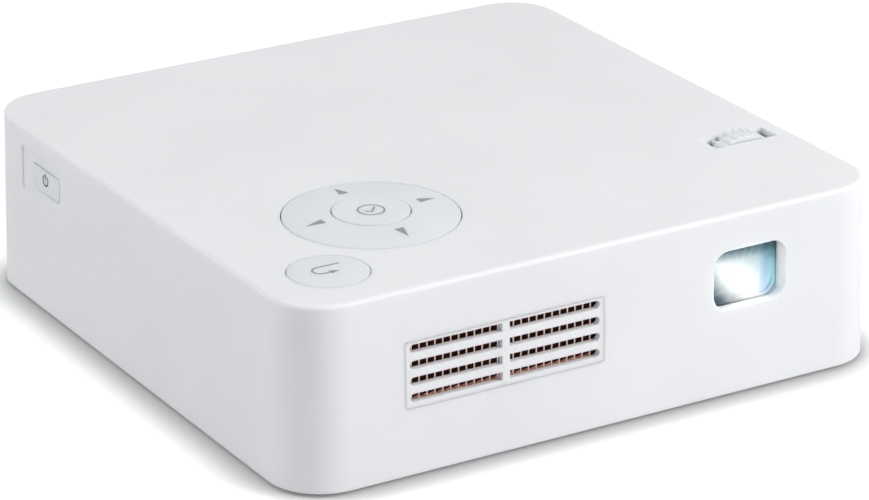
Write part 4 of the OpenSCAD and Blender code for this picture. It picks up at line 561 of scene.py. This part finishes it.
def make_fins():
    front, back, low, high = (FINS[key] * MM for key in ("front", "back", "low", "high"))
    count, first, pitch = FINS["count"], FINS["x"] * MM, FINS["pitch"] * MM
    sheet, fold = 0.12 * MM, 0.3 * MM               # half thickness of a sheet, thickness of its flanges
    reach = pitch - sheet - 0.02 * MM               # of a flange, just short of the next sheet
    row = {"start": (first, 0, 0), "step": (pitch, 0, 0)}
    # Channel section: a sheet with a flange at its foot and at its top, each reaching the next sheet
    outline = [(-sheet, low), (reach, low), (reach, low + fold), (sheet, low + fold),
               (sheet, high - fold), (reach, high - fold), (reach, high), (-sheet, high)]
    inside_hem = 0.3 * MM                           # a sheet's front edge ends this far behind its hem's
    section = prism(outline, lambda x, y: -back, lambda x, y: -front - inside_hem)
    sheets = copies("fin_sheets", closed_mesh("fin_sheet", [section], TO_FRONT), COPPER, count, **row)
    finish_piece(sheets, "housing", "copper", "heat_sink")

    # Hem along the front edge of each sheet, rounded in front; its pale colour and glow are painted light
    hem = [(-0.1, -0.6), (0.1, -0.6), (0.1, -0.12), (0.06, -0.03), (0, 0), (-0.06, -0.03), (-0.1, -0.12)]
    hem = [(x * MM, front - y * MM) for x, y in hem]
    edge = prism(hem, lambda x, y: low + fold / 2, lambda x, y: high - fold / 2)
    edges = copies("fin_edges", closed_mesh("fin_edge", [edge]), EDGE_PAINTED_LIGHT, count, **row)
    finish_piece(edges, "housing", "copper", "heat_sink")

    # Locking tab from each sheet to the next, bent up in front, which shows in the vent's lowest row
    tab = [(0.1, 16.6), (1.83, 16.6), (1.83, 17.25), (1.35, 17.28), (0.7, 17.05), (0.1, 17.0)]
    near, far = 0.1 * MM, 0.4 * MM                  # its faces lie this far behind the hem's front
    tab = prism([(x * MM, z * MM) for x, z in tab], lambda x, y: -front - far, lambda x, y: -front - near)
    tabs = copies("fin_tabs", closed_mesh("fin_tab", [tab], TO_FRONT), TAB_PAINTED_LIGHT, count - 1, **row)
    finish_piece(tabs, "housing", "copper", "heat_sink")

    # Base plate with bevelled long edges
    left, right = first - sheet, first + (count - 1) * pitch + sheet
    base, bevel = FINS["base"] * MM, 0.2 * MM
    outline = [(left + bevel, base), (right - bevel, base), (right, base + bevel), (right, low),
               (left, low), (left, base + bevel)]
    plate = closed_mesh("fin_base", [prism(outline, lambda x, y: -back, lambda x, y: -front)], TO_FRONT)
    finish_piece(new_object("fin_base", plate, COPPER), "housing", "copper", "heat_sink")


make_fins()


# ---- small fittings on the underside and the back ----

def cross_screw(head_r, head_h, shank_r, length, steps=32):
    """Pan-head screw with a cross recess, its head down."""
    verts, faces = lathe([(0.8 * head_r, -head_h), (0.94 * head_r, -0.85 * head_h), (head_r, -0.6 * head_h),
                          (head_r, 0), (shank_r, 0), (shank_r, length - 0.6 * MM),
                          (shank_r - 0.4 * MM, length)], steps, open_start=True)
    arm, reach = 0.14 * head_r, 0.58 * head_r       # half width and length of the recess's arms
    corner = [(reach, -arm), (reach, arm), (arm, arm)]
    cross = []
    for c, s in ((1, 0), (0, 1), (-1, 0), (0, -1)):
        cross += [(x * c - y * s, x * s + y * c) for x, y in corner]
    face_z, floor_z, narrowing = -head_h, -0.35 * head_h, 0.75
    n, first = len(cross), len(verts)
    verts += [(x, y, face_z) for x, y in cross]
    verts += [(narrowing * x, narrowing * y, floor_z) for x, y in cross]
    # The flat of the head lies between its rim and the mouth of the recess
    rim, mouth = [Vector(v) for v in verts[:steps]], [Vector(v) for v in verts[first:first + n]]
    faces += [[i if i < steps else first + i - steps for i in corners]
              for corners in tessellate_polygon([rim, mouth])]
    faces += [[first + i, first + (i + 1) % n, first + n + (i + 1) % n, first + n + i] for i in range(n)]
    faces.append([first + n + i for i in range(n)])
    return verts, faces


def thread(r, depth, pitch, turns, steps=32):
    """Ridge of an inside thread, winding up from z = 0."""
    root, crest = 0.44, 0.06                        # half widths of the ridge, in pitches
    least = 0.05                                    # share of its depth that is left at its ends
    sunk = r + 0.05 * MM                            # the root lies in the wall
    total = int(turns * steps)
    verts, faces = [], []
    for k in range(total + 1):
        c, s, z = math.cos(k * TAU / steps), math.sin(k * TAU / steps), k * pitch / steps
        # The ridge rises over a quarter of a turn at each end
        top = r - depth * min(1, 4 * k / steps + least, 4 * (total - k) / steps + least)
        for q, dz in ((sunk, -root), (sunk, root), (top, crest), (top, -crest)):
            verts.append((q * c, q * s, z + dz * pitch))
    for k in range(total):
        a, b = 4 * k, 4 * k + 4
        faces += [[a + i, a + (i + 1) % 4, b + (i + 1) % 4, b + i] for i in range(4)]
    faces += [[0, 1, 2, 3], [4 * total + i for i in (3, 2, 1, 0)]]
    return verts, faces


def make_fittings():
    # Case screws, one in each corner of the base
    corner = Matrix.Translation((SCREW_AT, SCREW_AT, 0))
    screw = cross_screw(head_r=2.1 * MM, head_h=1.0 * MM, shank_r=1.25 * MM, length=12 * MM)
    screw = closed_mesh("case_screw", [screw], corner)
    screws = copies("cross_screws", screw, STEEL, 4, start=(0, 0, SCREW_Z), turn=(0, 0, TAU / 4))
    finish_piece(screws, "housing", "zinc_steel", "case_screws")

    # Quarter-inch thread of the tripod insert, with 20 turns to the inch
    place = Matrix.Translation(TRIPOD + Vector((0, 0, 0.7 * MM)))
    ridge = thread(r=3.175 * MM, depth=0.5 * MM, pitch=1.27 * MM, turns=4)
    ridge = closed_mesh("tripod_thread", [ridge], place, smooth=True)
    finish_piece(new_object("tripod_thread", ridge, BRASS), "housing", "brass")

    # Bent leaf contacts on the tongue of each socket, as a (length, height) outline drawn from the root
    leaf, root = [(0, 0), (4.4, 0), (4.9, -0.14), (5.0, -0.06), (4.5, 0.1), (0, 0.1)], -5.2
    for name, at, side, width, pitch, count in (("hdmi_contacts", HDMI, 1, 0.4, 1.0, 10),
                                                 ("usb_contacts", USB, -1, 1.0, 2.3, 4)):
        parts = [prism([((root + length) * MM, side * height * MM) for length, height in leaf],
                       lambda x, y: -width / 2 * MM, lambda x, y: width / 2 * MM)]
        # Length runs to the back, height up, width across
        place = Matrix(((0, 0, 1, 0), (1, 0, 0, 0), (0, 1, 0, 0), (0, 0, 0, 1)))
        row = copies(name, closed_mesh(name + "_leaf", parts, place), GOLD, count,
                     start=at - Vector(((count - 1) / 2 * pitch * MM, 0, 0)), step=(pitch * MM, 0, 0))
        finish_piece(row, "housing", "brass")

    # Plated bush in the audio socket and bright sleeve on the inlet's pin
    bush = [(1.82, -3), (2.35, -3), (2.35, 0.0), (2.25, 0.06), (1.95, 0.06), (1.82, -0.05)]
    bush = lathe_ring([(r * MM, z * MM) for r, z in bush])
    mesh = closed_mesh("audio_bush", [bush], Matrix.Translation(AUDIO) @ TO_BACK)
    finish_piece(new_object("audio_bush", mesh, STEEL), "housing", "zinc_steel")
    pin = [(0.9, -11.5), (0.9, -0.7), (0.78, -0.35), (0.5, -0.15), (0.15, -0.1)]
    pin = lathe([(r * MM, z * MM) for r, z in pin], 24)
    mesh = closed_mesh("inlet_pin", [pin], Matrix.Translation(INLET) @ TO_BACK, smooth=True)
    finish_piece(new_object("inlet_pin", mesh, STEEL), "housing", "zinc_steel")


make_fittings()


# ---- stage: floor, light and background ----

def make_floor():
    """White paper. The camera sees a deeper contact shadow on it; what it bounces is a little greyer."""
    shadow_width, shadow_tone = 13 * MM, 0.42       # the tone is what is left of white at the contact
    glow = 0.3                                      # faint, for the camera only, away from the shadow
    half = 6                                        # half width of the sheet, in metres
    paper = surface("white_paper", "#F5F5F6", "#F8F8F9", 0.85, cloud_mm=60, grain_mm=3)
    tree = paper.node_tree
    seen = add(tree, "ShaderNodeLightPath").outputs["Is Camera Ray"]
    close = add(tree, "ShaderNodeAmbientOcclusion", {"Distance": shadow_width}, samples=16).outputs["AO"]
    shade = add(tree, "ShaderNodeMapRange", {
        "Value": close, "From Min": 0.5, "From Max": 1.0, "To Min": shadow_tone, "To Max": 1.0},
        interpolation_type="SMOOTHSTEP").outputs[0]
    white = add(tree, "ShaderNodeMix", {0: shade, 6: linear("#000000"), 7: linear("#FFFFFF")},
                data_type="RGBA")
    tone = add(tree, "ShaderNodeMix", {0: seen, 6: linear("#E6E6E7"), 7: white.outputs[2]},
               data_type="RGBA")
    lift = add(tree, "ShaderNodeMath", {0: seen, 1: glow}, operation="MULTIPLY").outputs[0]
    lift = add(tree, "ShaderNodeMath", {0: lift, 1: shade}, operation="MULTIPLY").outputs[0]
    wire(tree, tree.nodes["Principled BSDF"], {
        "Base Color": tone.outputs[2], "Emission Color": linear("#FFFFFF"), "Emission Strength": lift})
    floor = bpy.data.meshes.new("floor")
    corners = [(-half, -half, 0), (half, -half, 0), (half, half, 0), (-half, half, 0)]
    floor.from_pydata(corners, [], [[0, 1, 2, 3]])
    new_object("floor", floor, paper)


def make_sky():
    """Soft light from all round, which the camera sees as plain white, also through glass."""
    world = bpy.data.worlds.new("studio")
    SCENE.world = world
    world.use_nodes = True
    tree = world.node_tree
    tree.nodes.clear()
    path = add(tree, "ShaderNodeLightPath").outputs
    seen = add(tree, "ShaderNodeMath", {0: path["Is Camera Ray"], 1: path["Is Transmission Ray"]},
               operation="MAXIMUM").outputs[0]
    soft = add(tree, "ShaderNodeBackground", {"Color": (0.98, 0.99, 1.0, 1), "Strength": 0.48})
    white = add(tree, "ShaderNodeBackground", {"Color": (1, 1, 1, 1), "Strength": 1.0})
    mix = add(tree, "ShaderNodeMixShader", {0: seen, 1: soft.outputs[0], 2: white.outputs[0]})
    add(tree, "ShaderNodeOutputWorld", {0: mix.outputs[0]})


def area_lamp(name, place, size, power, aim):
    """Square lamp that shines along aim."""
    data = bpy.data.lights.new(name, "AREA")
    data.shape, data.size, data.energy = "SQUARE", size, power
    lamp = bpy.data.objects.new(name, data)
    lamp.location = place
    lamp.rotation_euler = aim.to_track_quat("-Z", "Y").to_euler()
    SCENE.collection.objects.link(lamp)
    return lamp


def make_lamps():
    for name, place, size, power in SOFTBOXES:
        area_lamp(name, place, size, power, AIM - Vector(place))
    # The projector's own light, which leaves the lens and spills on the sides of its opening
    ahead = Vector((0, -1, 0))
    spill = area_lamp("lamp_spill", LENS + ahead * 0.6 * MM, size=6 * MM, power=0.0008, aim=ahead)
    spill.visible_camera = False


make_floor()
make_sky()
make_lamps()
SCENE.view_settings.view_transform = "Standard"
